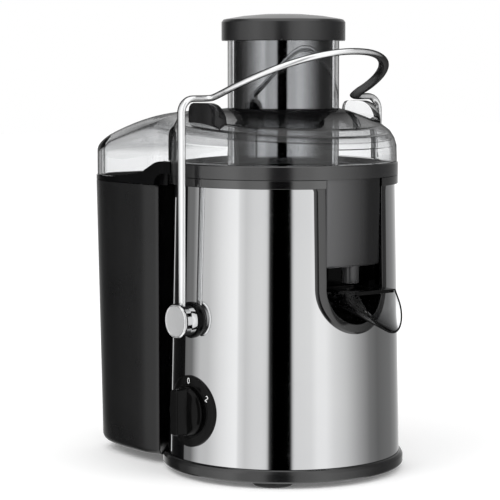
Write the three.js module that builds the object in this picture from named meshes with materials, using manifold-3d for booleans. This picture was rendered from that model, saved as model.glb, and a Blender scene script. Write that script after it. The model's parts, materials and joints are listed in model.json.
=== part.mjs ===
// Centrifugal juicer. Millimetres, +Z up. The sub-parts are drawn about the body's axis, with z = 0 at the
// underside of the base ring; the last group moves the whole to the middle of its footprint on the table.
// +X is the spout side, -X the pulp bin, -Y the side with the speed knob.
import * as THREE from 'three';
import { mergeVertices } from 'three/addons/utils/BufferGeometryUtils.js';
import Module from 'manifold-3d';

const wasm = await Module();
wasm.setup();

// Driving dimensions
const gap = 0.3;
const footHeight = 4;
const baseRadius = 91.5;
const baseHeight = 9.5;
const sleeveFoot = baseHeight + gap;
const sleeveTop = 212.2;
const sleeveFootRadius = 88.5;
const sleeveTopRadius = 84.1;
const steelThickness = 1.2;
const shellThickness = 4.2;
const trimRadius = 86.5;
const trimTop = 218.7;
const ringTop = 229;
const bowlRadius = 79;
const bezelHalfWidth = 34;
const pocketHalfWidth = 26.5;
const pocketCentre = 140;
const pocketDepthX = 60.5;
const chuteRadius = 41.9;
const chuteBore = 39.2;
const chuteTop = 332.6;
const chuteFoot = 200;
const pusherRadius = 37.1;
const pusherFoot = 200;
const capRadius = 46.5;
const capFoot = 318.9;
const capTop = 339.1;
const pivotHeight = 114.6;
const armY = 95;
const armTop = 276.6;
const loopLength = 82;
const loopHalfWidth = 66.5;
const hubFace = 101.5;
const knobTip = 103;
const dialHeight = 47;
const dialRadius = 26.5;
const binFoot = 2.5;
const binTop = 210.5;
const binBack = 170;
const binHalfWidth = 79;
const binFrontRadius = 94;
const binSquareness = 3.8;
const binWall = 2.2;
const spoutTip = 125.5;
const spoutDeck = 139.5;
const spoutPinX = 70;
const spoutPinHeight = 138;
const sleeveSpan = 95;
const rearStepSpan = 111;
const padTop = 273.4;
const brushHeight = 116;
const rimSegments = 32;

// Working in solids

function solid(geometry) {
  const plain = geometry.clone();
  plain.deleteAttribute('normal');
  plain.deleteAttribute('uv');
  const merged = mergeVertices(plain, 1e-3);
  const position = merged.attributes.position;
  let corners = [];
  for (let i = 0; i < merged.index.count; i += 3) {
    const [a, b, c] = [0, 1, 2].map((k) => merged.index.getX(i + k));
    if (a !== b && b !== c && c !== a) corners.push(a, b, c);
  }
  const at = (i) => new THREE.Vector3().fromBufferAttribute(position, i);
  let volume = 0;
  for (let i = 0; i < corners.length; i += 3) {
    volume += at(corners[i]).dot(at(corners[i + 1]).cross(at(corners[i + 2])));
  }
  if (volume < 0) corners = corners.reverse();
  const vertProperties = new Float32Array(position.array);
  const triVerts = new Uint32Array(corners);
  return new wasm.Manifold(new wasm.Mesh({ numProp: 3, vertProperties, triVerts }));
}

function geometryOf(body) {
  const mesh = body.getMesh();
  const geometry = new THREE.BufferGeometry();
  geometry.setAttribute('position', new THREE.BufferAttribute(mesh.vertProperties, 3));
  geometry.setIndex(new THREE.BufferAttribute(mesh.triVerts, 1));
  geometry.computeVertexNormals();
  return geometry;
}

const union = (...bodies) => bodies.reduce((sum, body) => sum.add(body));
const cut = (body, ...tools) => tools.reduce((left, tool) => left.subtract(tool), body);

// A turned body about +Z from [radius, z] pairs; closed on itself unless it starts and ends on the axis.
function turnedGeometry(profile, segments = rimSegments) {
  const points = profile.map(([r, z]) => new THREE.Vector2(r, z));
  const onAxis = profile[0][0] === 0 && profile.at(-1)[0] === 0;
  if (!onAxis) points.push(points[0].clone());
  return new THREE.LatheGeometry(points, segments).rotateX(Math.PI / 2);
}

const turned = (profile, segments) => solid(turnedGeometry(profile, segments));
const disc = (r, low, high, segments) => turned([[0, low], [r, low], [r, high], [0, high]], segments);
const ring = (outer, inner, low, high, segments) =>
  turned([[inner, low], [outer, low], [outer, high], [inner, high]], segments);

function box(low, high) {
  const size = high.map((value, i) => value - low[i]);
  const middle = high.map((value, i) => (value + low[i]) / 2);
  return solid(new THREE.BoxGeometry(...size).translate(...middle));
}

// A turned body lying along Y: profile pairs are [radius, distance from the XZ plane].
const alongY = (profile, side, height, segments = 20) => {
  const quarter = side < 0 ? Math.PI / 2 : -Math.PI / 2;
  return solid(turnedGeometry(profile, segments).rotateX(quarter).translate(0, 0, height));
};

const prism = (shape, low, high, curveSegments = 8) =>
  solid(new THREE.ExtrudeGeometry(shape, { depth: high - low, bevelEnabled: false, curveSegments })
    .translate(0, 0, low));

// A prism along Y from an outline in X and Z.
const prismAlongY = (points, low, high) => {
  const shape = new THREE.Shape(points.map(([x, z]) => new THREE.Vector2(x, z)));
  const geometry = new THREE.ExtrudeGeometry(shape, { depth: high - low, bevelEnabled: false });
  return solid(geometry.rotateX(Math.PI / 2).translate(0, high, 0));
};

const mix = THREE.MathUtils.lerp;
const clamp = THREE.MathUtils.clamp;
const degrees = THREE.MathUtils.degToRad;

// Shapes that several sub-parts share

const bodyRadius = (z) => mix(sleeveFootRadius, sleeveTopRadius, (z - sleeveFoot) / (sleeveTop - sleeveFoot));

// The tapered skin of the body between two offsets from its outside.
function skin(inner, outer, low = sleeveFoot, high = sleeveTop) {
  return turned([
    [bodyRadius(low) + inner, low],
    [bodyRadius(low) + outer, low],
    [bodyRadius(high) + outer, high],
    [bodyRadius(high) + inner, high],
  ]);
}

const bodyCore = (offset) => turned([
  [0, 0],
  [bodyRadius(0) + offset, 0],
  [bodyRadius(trimTop) + offset, trimTop],
  [0, trimTop],
]);

// A wedge about +X that reaches an angle to either side.
function wedge(angle) {
  const reach = 200;
  const shape = new THREE.Shape([new THREE.Vector2(0, 0)]);
  for (let i = -2; i <= 2; i += 1) {
    const turn = degrees((angle * i) / 2);
    shape.lineTo(reach * Math.cos(turn), reach * Math.sin(turn));
  }
  return prism(shape, -10, 300);
}

// The U-shaped outline of the spout recess, cut along X.
function pocket(halfWidth, fromX, toX, top = 260) {
  const shape = new THREE.Shape();
  shape.moveTo(halfWidth, top);
  shape.lineTo(-halfWidth, top);
  shape.lineTo(-halfWidth, pocketCentre);
  shape.absarc(0, pocketCentre, halfWidth, Math.PI, 2 * Math.PI, false);
  shape.closePath();
  const depth = toX - fromX;
  const geometry = new THREE.ExtrudeGeometry(shape, { depth, bevelEnabled: false, curveSegments: 10 });
  return solid(geometry.rotateX(Math.PI / 2).rotateZ(Math.PI / 2).translate(fromX, 0, 0));
}

// Half the width of the pulp bin at a distance in front of its back.
function binHalf(x, inset = 0) {
  const shoulder = -78;
  const reach = binBack + shoulder - inset;
  if (x > shoulder) return binHalfWidth - 4 * ((Math.min(x, -60) - shoulder) / 18) ** 2 - inset;
  const along = clamp((shoulder - x) / reach, 0, 1);
  return (binHalfWidth - inset) * (1 - along ** binSquareness) ** (1 / binSquareness);
}

function binOutline(inset = 0, frontRadius = binFrontRadius) {
  const shape = new THREE.Shape();
  const cornerX = -Math.sqrt((frontRadius + inset) ** 2 - (74 - inset) ** 2);
  const front = [];
  const back = -binBack + inset;
  const steps = 9;
  for (let i = 0; i <= steps; i += 1) {
    const swing = Math.sin((i / steps) * (Math.PI / 2)) ** 0.8;
    const x = mix(cornerX - 3, back, swing);
    front.push([x, i === steps ? 0 : binHalf(x, inset)]);
  }
  const near = front.map(([x, y]) => [x, -y]);
  const far = front.slice(0, -1).reverse();
  const hollow = [];
  const sweep = Math.asin((74 - inset) / (frontRadius + inset));
  for (let i = 0; i <= 8; i += 1) {
    const turn = mix(sweep, -sweep, i / 8);
    hollow.push([-(frontRadius + inset) * Math.cos(turn), (frontRadius + inset) * Math.sin(turn)]);
  }
  [...near, ...far, ...hollow].forEach(([x, y], i) => {
    if (i === 0) shape.moveTo(x, y);
    else shape.lineTo(x, y);
  });
  shape.closePath();
  return shape;
}

// The line where the lid's hood meets the collector: low along the bin, high round the ring.
function hoodLine(offset) {
  const line = [
    [-binBack - 20, 214.3], [-125, 214.6], [-105, 215.6], [-90, 217.1], [-80, 218.7],
    [-73, 220.4], [-66, 223.2], [-58, 226.8], [-52, 228.5], [-46, ringTop],
  ];
  return line.map(([x, z]) => [x, z + offset]);
}

// Base

function baseRing() {
  const body = turned([
    [79.9, 0], [90.6, 0], [baseRadius, 1.2], [baseRadius, 7], [90.4, 8.8], [89.4, baseHeight],
    [82, baseHeight], [82, 5.6], [68, 5.6], [68, 3.3], [79.9, 3.3],
  ]);
  const shelf = box([-118, -26, 0], [-84, 26, 5.8]);
  return cut(union(body, shelf), ...screwPlaces().map(([x, y]) => disc(1.9, 2, 7, 10).translate([x, y, 0])));
}

const screwPlaces = () => [[74, 0], [0, 74], [-74, 0], [0, -74]];
const footPlaces = [[52, -51], [52, 51], [-52, -51], [-52, 51]];

function basePlate() {
  const stems = footPlaces.map(([x, y]) => disc(3.8, 0, 4, 12).translate([x, y, 0]));
  const screws = screwPlaces().map(([x, y]) => disc(1.9, 0, 4, 10).translate([x, y, 0]));
  const vents = [];
  for (let i = 0; i < 8; i += 1) {
    vents.push(box([22, -2, 0], [44, 2, 4]).rotate([0, 0, 45 * i + 22.5]));
  }
  return cut(disc(79.5, 0.6, 3), ...stems, ...screws, ...vents);
}

const foot = () => turned([
  [0, -footHeight], [13.8, -footHeight], [15, -2.8], [15, -gap], [3.5, -gap], [3.5, 2.9], [0, 2.9],
], 16);

const baseScrew = () => turned([[0, -1.6], [3.2, -1.6], [3.2, 0.3], [1.6, 0.3], [1.6, 5.4], [0, 5.4]], 10);

// Body

const pinHole = (radius, from, to) => [-1, 1].map((side) =>
  alongY([[0, from], [radius, from], [radius, to], [0, to]], side, pivotHeight, 14));
const knobHole = (radius, from, to) =>
  alongY([[0, from], [radius, from], [radius, to], [0, to]], -1, dialHeight, 14);
const inletTurn = 118;
const towardInlet = (body) => body.rotate([0, 90, inletTurn]).translate([0, 0, 26]);

function bodyShell() {
  const shell = skin(-shellThickness, 0);
  const steelSeat = skin(-steelThickness - gap, 5).intersect(wedge(sleeveSpan + 0.2));
  const rearStep = cut(skin(-0.8, 5), wedge(rearStepSpan));
  const liner = pocket(pocketHalfWidth + 2.4, pocketDepthX - 2.4, 95, sleeveTop)
    .intersect(bodyCore(-steelThickness - gap));
  const ears = [box([65, 20.4, 133], [75, 27.5, 143]), box([65, -27.5, 133], [75, -20.4, 143])];
  const pinBores = [-1, 1].map((side) =>
    alongY([[0, 18], [2.2, 18], [2.2, 23.5], [0, 23.5]], side, spoutPinHeight, 10)
      .translate([spoutPinX, 0, 0]));
  const bowlRoom = disc(bowlRadius + 0.7, 165, 240);
  const hollowed = cut(union(shell, cut(liner, bowlRoom)), pocket(pocketHalfWidth, pocketDepthX, 110));
  return cut(
    union(cut(hollowed, steelSeat, rearStep), ...ears),
    ...pinBores, ...pinHole(4.5, 70, 100), knobHole(5.5, 70, 100),
    towardInlet(disc(8.3, 70, 100, 16)),
  );
}

function steelSleeve() {
  const sheet = skin(-steelThickness, 0).intersect(wedge(sleeveSpan));
  return cut(sheet, pocket(31.3, 40, 110), ...pinHole(4.7, 70, 100), knobHole(5.5, 70, 100));
}

function bodyTrim() {
  const band = turned([
    [80.3, sleeveTop + gap], [trimRadius, sleeveTop + gap], [trimRadius, trimTop], [80.3, trimTop],
  ]);
  const facing = pocket(bezelHalfWidth, 40, 110, 216).intersect(skin(gap, 1.9, 80, 216));
  const rib = pocket(31, 40, 110, 216).intersect(skin(-steelThickness, 1, 80, 216));
  return cut(union(band, facing, rib), pocket(pocketHalfWidth, 50, 110));
}

function motorDeck() {
  const recessRoom = pocket(pocketHalfWidth + 2.8, pocketDepthX - 2.8, 95);
  return cut(disc(80.4, 148, 151), disc(12.3, 140, 160, 20), recessRoom);
}

const shaftSeal = () => turned([
  [4.3, 153], [7, 151.3], [7, 146], [12, 146], [12, 151.3], [15, 151.3],
  [15, 153.3], [9, 154], [6, 158], [4.6, 158],
], 20);

function dialPlate() {
  const plate = alongY([[0, 60], [dialRadius, 60], [dialRadius, 100], [0, 100]], -1, dialHeight, 36);
  return cut(plate.intersect(skin(gap, 2, 15, 80)), knobHole(5.5, 70, 100));
}

function hubWasher(side) {
  const profile = [[4.5, 80], [13.4, 80], [13.4, 87.8], [12.8, 88.5], [4.5, 88.5]];
  return cut(alongY(profile, side, pivotHeight, 24), bodyCore(gap));
}

const cordInlet = () => towardInlet(turned([
  [3.6, 81], [8, 81], [8, 88.4], [10.4, 88.7], [10.4, 90.2], [8.4, 91.2], [3.6, 91.2],
], 16));

// Motor and electrics

function motorStator() {
  const block = box([-38, -32, 60], [38, 32, 104]);
  const slots = [];
  for (const x of [24.2, -30.8]) {
    for (const y of [-20.3, 13.7]) slots.push(box([x, y, 50], [x + 6.6, y + 6.6, 120]));
  }
  return cut(block, disc(23, 50, 120, 28), ...slots);
}

function fieldCoil(side) {
  const low = side > 0 ? 24.5 : -30.5;
  return cut(box([low, -20, 53], [low + 6, 20, 111]), box([low - 1, -14, 58], [low + 7, 14, 106]));
}

const bearing = (low, outer) => ring(outer, 4.3, low, low + 7, 18);

function lowerBracket() {
  const bar = box([-36, -12, 30.4], [36, 12, 33.4]);
  const cup = ring(12, 9.9, 22.8, 31, 20);
  const legs = [box([-36, -12, 31], [-33, 12, 59.7]), box([33, -12, 31], [36, 12, 59.7])];
  return cut(union(bar, cup, ...legs), disc(6, 29, 35, 16));
}

function upperBracket() {
  const bar = box([-44, -30, 126], [44, 30, 129]);
  const legs = [box([-37, -10, 104.3], [-34, 10, 127]), box([34, -10, 104.3], [37, 10, 127])];
  const cup = ring(13.4, 11.3, 128, 136.5, 20);
  return cut(union(bar, cup, ...legs), disc(6, 120, 132, 16));
}

function brush(side) {
  const low = side > 0 ? 11.6 : -27;
  return box([-3, low, brushHeight - 3], [3, low + 15.4, brushHeight + 3]);
}

function brushHolder(side) {
  const low = side > 0 ? 14 : -36;
  const boreLow = side > 0 ? 13 : -33;
  const sleeve = box([-5.5, low, 110.5], [5.5, low + 22, 125.7]);
  return cut(sleeve, box([-3.3, boreLow, brushHeight - 3.3], [3.3, boreLow + 20, brushHeight + 3.3]));
}

const mountPlaces = [[38, 24], [38, -24], [-38, 24], [-38, -24]];
const rubberMount = () => turned([[0, 129.3], [6, 129.3], [5, 138], [6, 147.7], [0, 147.7]], 12);
const rotarySwitch = () => box([-11, -74, 36], [11, -56, 58]);
const interlockSwitch = () => box([-14, -76, 127.5], [14, -66, 143]);

// Juice collector

function collectorBowl() {
  return turned([
    [trimRadius, trimTop + gap], [trimRadius, 228.2], [85.8, ringTop], [82.4, ringTop],
    [76.4, 221], [75.8, 180], [70, 173], [20.5, 171], [18, 173], [18, 186], [15.6, 186],
    [15.6, 168.6], [72, 170.4], [78, 178], [bowlRadius, trimTop + gap],
  ]);
}

function collectorDuct() {
  const foot = 155;
  const top = trimTop + gap + 1;
  const front = turned([[0, foot], [bodyRadius(foot) - 0.6, foot], [85.6, top], [0, top]]);
  const room = turned([[0, 157.5], [bodyRadius(foot) - 3, 157.5], [83.2, 217], [0, 217]]);
  const across = pocketHalfWidth - 0.5;
  const casing = box([pocketDepthX + 0.6, -across, foot], [90, across, trimTop + 1]).intersect(front);
  const hollow = box([pocketDepthX + 3, -across + 2.2, 157.5], [90, across - 2.2, 216]).intersect(room);
  return { casing, hollow };
}

// Side wings and the sloped lip that lead the pulp into the bin.
function collectorWings() {
  const reachesRing = binOutline(0, 87.2);
  const opening = binOutline(4, binFrontRadius + 4);
  const below = [...hoodLine(0), [0, ringTop], [0, 205], [-binBack - 20, 205]];
  const plate = cut(prism(reachesRing, 210.8, 213.4), prism(opening, 200, 240));
  const wall = cut(prism(reachesRing, 210.8, ringTop), prism(binOutline(2.6, 80), 200, 240))
    .intersect(prismAlongY(below, -100, 100));
  const lip = turned([[86.9, 211], [86.9, ringTop], [88.9, ringTop], [98.4, 213.2], [95.4, 211], [88.9, 222]])
    .intersect(prism(binOutline(1, 80), 200, 240)).intersect(prismAlongY(below, -100, 100));
  const lobes = [-1, 1].map((side) => wingLobe(side).intersect(prismAlongY(below, -100, 100)));
  return cut(union(plate, wall, lip, ...lobes), disc(86.85, 200, trimTop + gap));
}

function wingLobe(side) {
  const points = [[-73, 210.8], [-57, 210.8]];
  for (let i = 1; i <= 4; i += 1) {
    const turn = (i / 4) * (Math.PI / 2);
    points.push([-57 + 12 * (1 - Math.cos(turn)), 210.8 + 9 * Math.sin(turn)]);
  }
  points.push([-36, 219.8], [-36, ringTop], [-57, ringTop]);
  for (let i = 1; i <= 4; i += 1) {
    const turn = (i / 5) * (Math.PI / 2);
    points.push([-57 - 16 * Math.sin(turn), ringTop - 18.2 * (1 - Math.cos(turn))]);
  }
  return side > 0 ? prismAlongY(points, 75, 79.5) : prismAlongY(points, -79.5, -75);
}

function juiceCollector() {
  const { casing, hollow } = collectorDuct();
  const nozzleX = 78;
  const nozzle = disc(6.5, 143, 158, 18).translate([nozzleX, 0, 0]);
  const bore = disc(5, 140, 159, 18).translate([nozzleX, 0, 0]);
  const bowlRoom = turned([
    [0, 187], [15.6, 187], [18, 187], [18, 173], [20.5, 171], [70, 173],
    [75.8, 180], [76.4, 221], [82.4, 231], [0, 231],
  ]);
  const tubeBore = disc(15.6, 160, 190, 24);
  const drain = box([63.6, -10, 159], [71, 10, 175]);
  const whole = union(cut(casing, hollow), collectorBowl(), nozzle, collectorWings());
  return cut(whole, bowlRoom, tubeBore, bore, drain);
}

// Lid

const domeTilt = -0.078;

function domeSolid(profile) {
  const geometry = turnedGeometry(profile);
  const position = geometry.attributes.position;
  for (let i = 0; i < position.count; i += 1) {
    const [x, y, z] = [position.getX(i), position.getY(i), position.getZ(i)];
    const outward = clamp((Math.hypot(x, y) - 42) / 35, 0, 1);
    position.setZ(i, z + domeTilt * x * outward * clamp((z - 236) / 16, 0, 1));
  }
  return solid(geometry);
}

const domeOutside = (grow = 0) => domeSolid([
  [0, ringTop + gap], [85.6 + grow, ringTop + gap], [85.3 + grow, 243], [83.5 + grow, 251 + grow],
  [80.3 + grow, 256 + grow], [74, 260 + grow], [50, 267 + grow], [42, 268.6 + grow], [0, 268.6 + grow],
]);
const domeInside = () => domeSolid([
  [0, 220], [83.2, 220], [82.9, 243], [81.2, 249.4], [78.5, 253.6],
  [72.8, 257.4], [49, 264.4], [42, 266], [0, 266],
]);

// The hood over the bin: arched sections along X, wide at the ring and closing to a rounded back.
function hoodSolid(inset) {
  const arch = new THREE.Shape();
  arch.moveTo(-1, 0);
  for (let i = 0; i <= 10; i += 1) {
    const across = mix(-1, 1, i / 10);
    arch.lineTo(across, Math.max(0.72, (1 - Math.abs(across) ** 4) ** 0.4 * 0.28 + 0.72));
  }
  arch.lineTo(1, 0);
  arch.closePath();
  const steps = 10;
  const geometry = new THREE.ExtrudeGeometry(arch, { depth: 1, steps, bevelEnabled: false });
  const position = geometry.attributes.position;
  const foot = 205;
  for (let i = 0; i < position.count; i += 1) {
    const along = Math.sin(position.getZ(i) * Math.PI / 2) ** 0.9;
    const x = mix(-30, -binBack + 0.6 + inset, along);
    const crown = hoodCrown(x - inset) - inset;
    const half = Math.max(20, Math.min(binHalf(x, inset + 0.8), 76 - inset));
    position.setXYZ(i, x, position.getX(i) * half, foot + position.getY(i) * (crown - foot));
  }
  return solid(geometry);
}

function hoodCrown(x) {
  const rise = mix(261, 266, clamp((-30 - x) / 40, 0, 1));
  const fall = 31 * clamp((-70 - x) / 100, 0, 1) ** 1.5;
  return rise - fall - 5 * clamp((-163 - x) / 6.5, 0, 1) ** 2;
}

function lid() {
  const below = [...hoodLine(gap), [-30, ringTop + gap], [-30, 190], [-binBack - 20, 190]];
  const skirtCut = prismAlongY(below, -100, 100);
  const outside = union(domeOutside(), cut(hoodSolid(0), skirtCut));
  const inside = union(domeInside(), hoodSolid(2.4));
  const chute = disc(chuteRadius, chuteFoot, chuteTop);
  return cut(union(cut(outside, inside), chute), disc(chuteBore, chuteFoot - 10, chuteTop + 10));
}

function lockPad(side) {
  const points = [[-15, 255], [-15, padTop], [5, padTop]];
  for (let i = 1; i <= 5; i += 1) {
    const turn = (i / 5) * (Math.PI / 2);
    points.push([5 + 18 * Math.sin(turn), padTop - 15.5 * (1 - Math.cos(turn))]);
  }
  points.push([23, 250], [-15, 250]);
  const block = side > 0 ? prismAlongY(points, 71, 77.5) : prismAlongY(points, -77.5, -71);
  return cut(block, domeOutside(gap + 0.1));
}

// Lock arm

function armRoute() {
  const leg = [120, 160, 200, 240, 264].map((z) => [0, armY, z]);
  const bend = [[armY - 0.6, 270.6], [armY - 3, 274.8], [armY - 7, 276.5]].map(([y, z]) => [0, y, z]);
  const crossing = [[0, 79, armTop], [0.6, 73, armTop], [3.2, 68.6, 277.2]];
  const power = 2 / 2.13;
  const loop = [];
  const steps = 9;
  for (let i = 1; i <= steps; i += 1) {
    const turn = (i / steps) * (Math.PI / 2);
    const x = loopLength * Math.sin(turn) ** power;
    const y = loopHalfWidth * Math.max(0, Math.cos(turn)) ** power;
    loop.push([x, y, armTop + 0.36 * x + 0.0007 * x * x]);
  }
  const half = [...leg, ...bend, ...crossing, ...loop];
  const mirrored = half.slice(0, -1).reverse().map(([x, y, z]) => [x, -y, z]);
  return [...half, ...mirrored].map(([x, y, z]) => new THREE.Vector3(x, -y, z));
}

function lockArm() {
  const section = new THREE.Shape();
  section.absellipse(0, 0, 2.4, 3.9, 0, 2 * Math.PI, false, 0);
  const extrudePath = new THREE.CatmullRomCurve3(armRoute(), false, 'centripetal');
  return solid(new THREE.ExtrudeGeometry(section, { steps: 76, curveSegments: 4, extrudePath }));
}

function hub(side) {
  const body = alongY([
    [0, 98], [4.3, 98], [4.3, 88.8], [11.6, 88.8], [11.2, 92], [11.4, 95.5], [12.2, 98.2], [12.9, 99.6],
    [12.9, hubFace - 0.8], [12.2, hubFace], [0, hubFace],
  ], side, pivotHeight, 22);
  const socket = disc(1, 119.7, 132, 14).scale([4.3, 2.8, 1]).translate([0, side * armY, 0]);
  return cut(body, socket);
}

function pivotPin(side) {
  const profile = [[0, 70], [7, 70], [7, 73], [4, 73], [4, 97.7], [0, 97.7]];
  const pin = alongY(profile, side, pivotHeight, 14);
  return side < 0 ? union(pin, box([-4, -73, 114], [4, -70, 125.5])) : pin;
}

// Speed knob

function speedKnob() {
  const base = alongY([
    [0, 78], [3.5, 78], [3.5, 90.2], [18.5, 90.2], [18.5, 91.6], [17, 94], [0, 95],
  ], -1, dialHeight, 26);
  const grip = new THREE.Shape();
  grip.moveTo(-4.8, -14);
  grip.quadraticCurveTo(-4.4, -17.2, 0, -17.4);
  grip.quadraticCurveTo(4.4, -17.2, 4.8, -14);
  grip.lineTo(4.8, 14);
  grip.quadraticCurveTo(4.4, 17.2, 0, 17.4);
  grip.quadraticCurveTo(-4.4, 17.2, -4.8, 14);
  const depth = knobTip - 93;
  const bar = new THREE.ExtrudeGeometry(grip, { depth, bevelEnabled: false, curveSegments: 3 });
  return union(base, solid(bar.rotateX(Math.PI / 2).translate(0, -93, dialHeight)));
}

// Pusher

const pusherBody = () => turned([
  [0, pusherFoot], [35, pusherFoot], [pusherRadius, pusherFoot + 2], [pusherRadius, 332.7], [34.7, 332.7],
  [34.7, pusherFoot + 3], [0, pusherFoot + 3],
]);

const pusherCap = () => turned([
  [0, 333], [32, 333], [32, 322], [34.4, 322], [34.4, 333], [43.8, 333], [43.8, capFoot],
  [capRadius - 0.4, capFoot], [capRadius, capFoot + 0.6], [capRadius, 333.1], [45.2, 334.7],
  [30, 337.6], [0, capTop],
]);

// Pulp bin

function binBody(inset, low, high) {
  const levels = [[low, 0.93], [low + 1.5, 0.97], [low + 5, 1], [high, 1]];
  const geometry = new THREE.ExtrudeGeometry(binOutline(inset), { depth: 3, steps: 3, bevelEnabled: false });
  const position = geometry.attributes.position;
  const centre = -105;
  for (let i = 0; i < position.count; i += 1) {
    const [z, shrink] = levels[Math.round(position.getZ(i))];
    const x = centre + (position.getX(i) - centre) * shrink;
    const down = (binTop - z) / (binTop - binFoot);
    const back = clamp((-80 - x) / 78, 0, 1);
    position.setXYZ(i, x + 5.5 * down * back, position.getY(i) * shrink * (1 - 0.025 * down * back), z);
  }
  return solid(geometry);
}

function pulpBin() {
  const outside = cut(binBody(0, binFoot, binTop + 4), box([-200, -100, binTop], [0, 100, 260]));
  const inside = binBody(binWall, binFoot + binWall, binTop + 20);
  const housing = box([-121, -29, binFoot], [-92, 29, 8.6]).intersect(outside);
  const shelfRoom = box([-118.6, -26.6, -5], [-80, 26.6, 6.2]);
  return cut(union(cut(outside, inside), housing), shelfRoom);
}

// Drip spout

function spoutTrough(inset) {
  const outline = new THREE.Shape();
  outline.moveTo(-1, inset > 0 ? 0.3 : 0);
  outline.lineTo(-1, -0.3);
  for (let i = 1; i < 8; i += 1) {
    const turn = (i / 8) * Math.PI;
    outline.lineTo(-Math.cos(turn), -0.3 - 0.7 * Math.sin(turn));
  }
  outline.lineTo(1, -0.3);
  outline.lineTo(1, inset > 0 ? 0.3 : 0);
  outline.closePath();
  const geometry = new THREE.ExtrudeGeometry(outline, { depth: 1, steps: 5, bevelEnabled: false });
  const position = geometry.attributes.position;
  for (let i = 0; i < position.count; i += 1) {
    const x = mix(66 + inset, 136, position.getZ(i));
    const bottom = 128 - 0.3 * (x - 68) + inset;
    const half = 19.4 - inset - 2.4 * clamp((x - 104) / 20, 0, 1);
    const z = spoutDeck + position.getY(i) * (spoutDeck - bottom);
    position.setXYZ(i, x, position.getX(i) * half, z);
  }
  return solid(geometry);
}

function dripSpout() {
  const trough = cut(spoutTrough(0), spoutTrough(1.7));
  const deck = cut(box([66, -19.4, 137], [106, 19.4, spoutDeck]), box([69, -11, 130], [92, 11, 150]));
  const pinAcross = (from, to) => alongY([[0, from], [1.8, from], [1.8, to], [0, to]], 1, spoutPinHeight, 10);
  const pins = union(pinAcross(-23.2, -19), pinAcross(19, 23.2)).translate([spoutPinX, 0, 0]);
  const beyond = [[106, 150], [106, spoutDeck], [spoutTip, 110.7], [150, 100], [150, 150]];
  return union(cut(union(trough, deck), prismAlongY(beyond, -30, 30)), pins);
}

// Rotor: motor shaft with armature, fan and coupling, and the filter basket that it drives

const motorShaft = () => disc(4, 20, 176, 12);
const armature = () => ring(22.4, 4.3, 60, 104, 24);
const commutator = () => ring(11.3, 4.3, 110.5, 123, 20);

function coolingFan() {
  const vanes = [];
  for (let i = 0; i < 8; i += 1) vanes.push(box([9, -0.8, 37.5], [31, 0.8, 50]).rotate([0, 0, 45 * i]));
  return cut(union(disc(31, 36, 38, 24), disc(10, 36, 50, 24), ...vanes), disc(4.3, 30, 55, 12));
}

const driveCoupling = () => turned([
  [0, 189.3], [11, 189.3], [13, 186], [13, 172], [4.3, 172], [4.3, 176.3], [0, 176.3],
], 12);

const basketBase = () => turned([
  [0, 192], [53, 192], [53, 189], [24, 189], [24, 178], [19.4, 178], [19.4, 189.6], [0, 189.6],
], 32);

function graterDisc() {
  const teeth = [];
  for (let i = 0; i < 6; i += 1) {
    const inner = 20 + 2.6 * (i % 3);
    teeth.push(box([inner, -1.5, 193], [inner + 3, 1.5, 194.8]).rotate([0, 0, 60 * i]));
    teeth.push(box([38, -1.5, 193], [41, 1.5, 194.8]).rotate([0, 0, 60 * i + 30]));
  }
  return union(disc(50, 192.3, 193.2, 32), ...teeth);
}

const filterMesh = () => turned([[51.5, 192.3], [52.3, 192.3], [71.4, 219.7], [70.6, 219.7]], 32);
const basketRim = () => turned([[69.6, 220], [74.6, 220], [74.6, 225.4], [73.6, 226.4], [69.6, 226.4]], 32);

// Colours and finishes

const finishes = {
  satinBlack: { color: 0x1f2022, roughness: 0.42, metalness: 0 },
  glossBlack: { color: 0x0b0b0c, roughness: 0.12, metalness: 0 },
  greyPlastic: { color: 0x3a3b3d, roughness: 0.45, metalness: 0 },
  steel: { color: 0xc4c6c8, roughness: 0.2, metalness: 1 },
  chrome: { color: 0xe4e6e8, roughness: 0.06, metalness: 1 },
  smoked: { color: 0x9aa0a4, roughness: 0.05, metalness: 0, opacity: 0.35, transparent: true },
  rubber: { color: 0x171717, roughness: 0.85, metalness: 0 },
  copper: { color: 0xa4582c, roughness: 0.35, metalness: 1 },
  iron: { color: 0x6d7073, roughness: 0.5, metalness: 1 },
  carbon: { color: 0x2a2a2b, roughness: 0.7, metalness: 0 },
};

const juicer = new THREE.Group();

function place(name, finish, body, position = [0, 0, 0]) {
  const mesh = new THREE.Mesh(geometryOf(body), new THREE.MeshStandardMaterial(finishes[finish]));
  mesh.name = name;
  mesh.position.set(...position);
  juicer.add(mesh);
}

const sides = [['front', -1], ['rear', 1]];

place('base_ring', 'satinBlack', baseRing());
place('base_plate', 'satinBlack', basePlate());
footPlaces.forEach(([x, y], i) => place(`foot_${i + 1}`, 'rubber', foot(), [x, y, 0]));
screwPlaces().forEach(([x, y], i) => place(`base_screw_${i + 1}`, 'iron', baseScrew(), [x, y, 0]));
place('body_shell', 'glossBlack', bodyShell());
place('steel_sleeve', 'steel', steelSleeve());
place('body_trim', 'satinBlack', bodyTrim());
place('motor_deck', 'greyPlastic', motorDeck());
place('shaft_seal', 'rubber', shaftSeal());
place('dial_plate', 'glossBlack', dialPlate());
place('cord_inlet', 'rubber', cordInlet());
place('motor_stator', 'iron', motorStator());
place('field_coil_spout_side', 'copper', fieldCoil(1));
place('field_coil_bin_side', 'copper', fieldCoil(-1));
place('lower_bracket', 'iron', lowerBracket());
place('upper_bracket', 'iron', upperBracket());
place('lower_bearing', 'steel', bearing(23, 9.6));
place('upper_bearing', 'steel', bearing(129.3, 11));
mountPlaces.forEach(([x, y], i) => place(`rubber_mount_${i + 1}`, 'rubber', rubberMount(), [x, y, 0]));
place('rotary_switch', 'greyPlastic', rotarySwitch());
place('interlock_switch', 'greyPlastic', interlockSwitch());
place('juice_collector', 'satinBlack', juiceCollector());
place('lid', 'smoked', lid());
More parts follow.
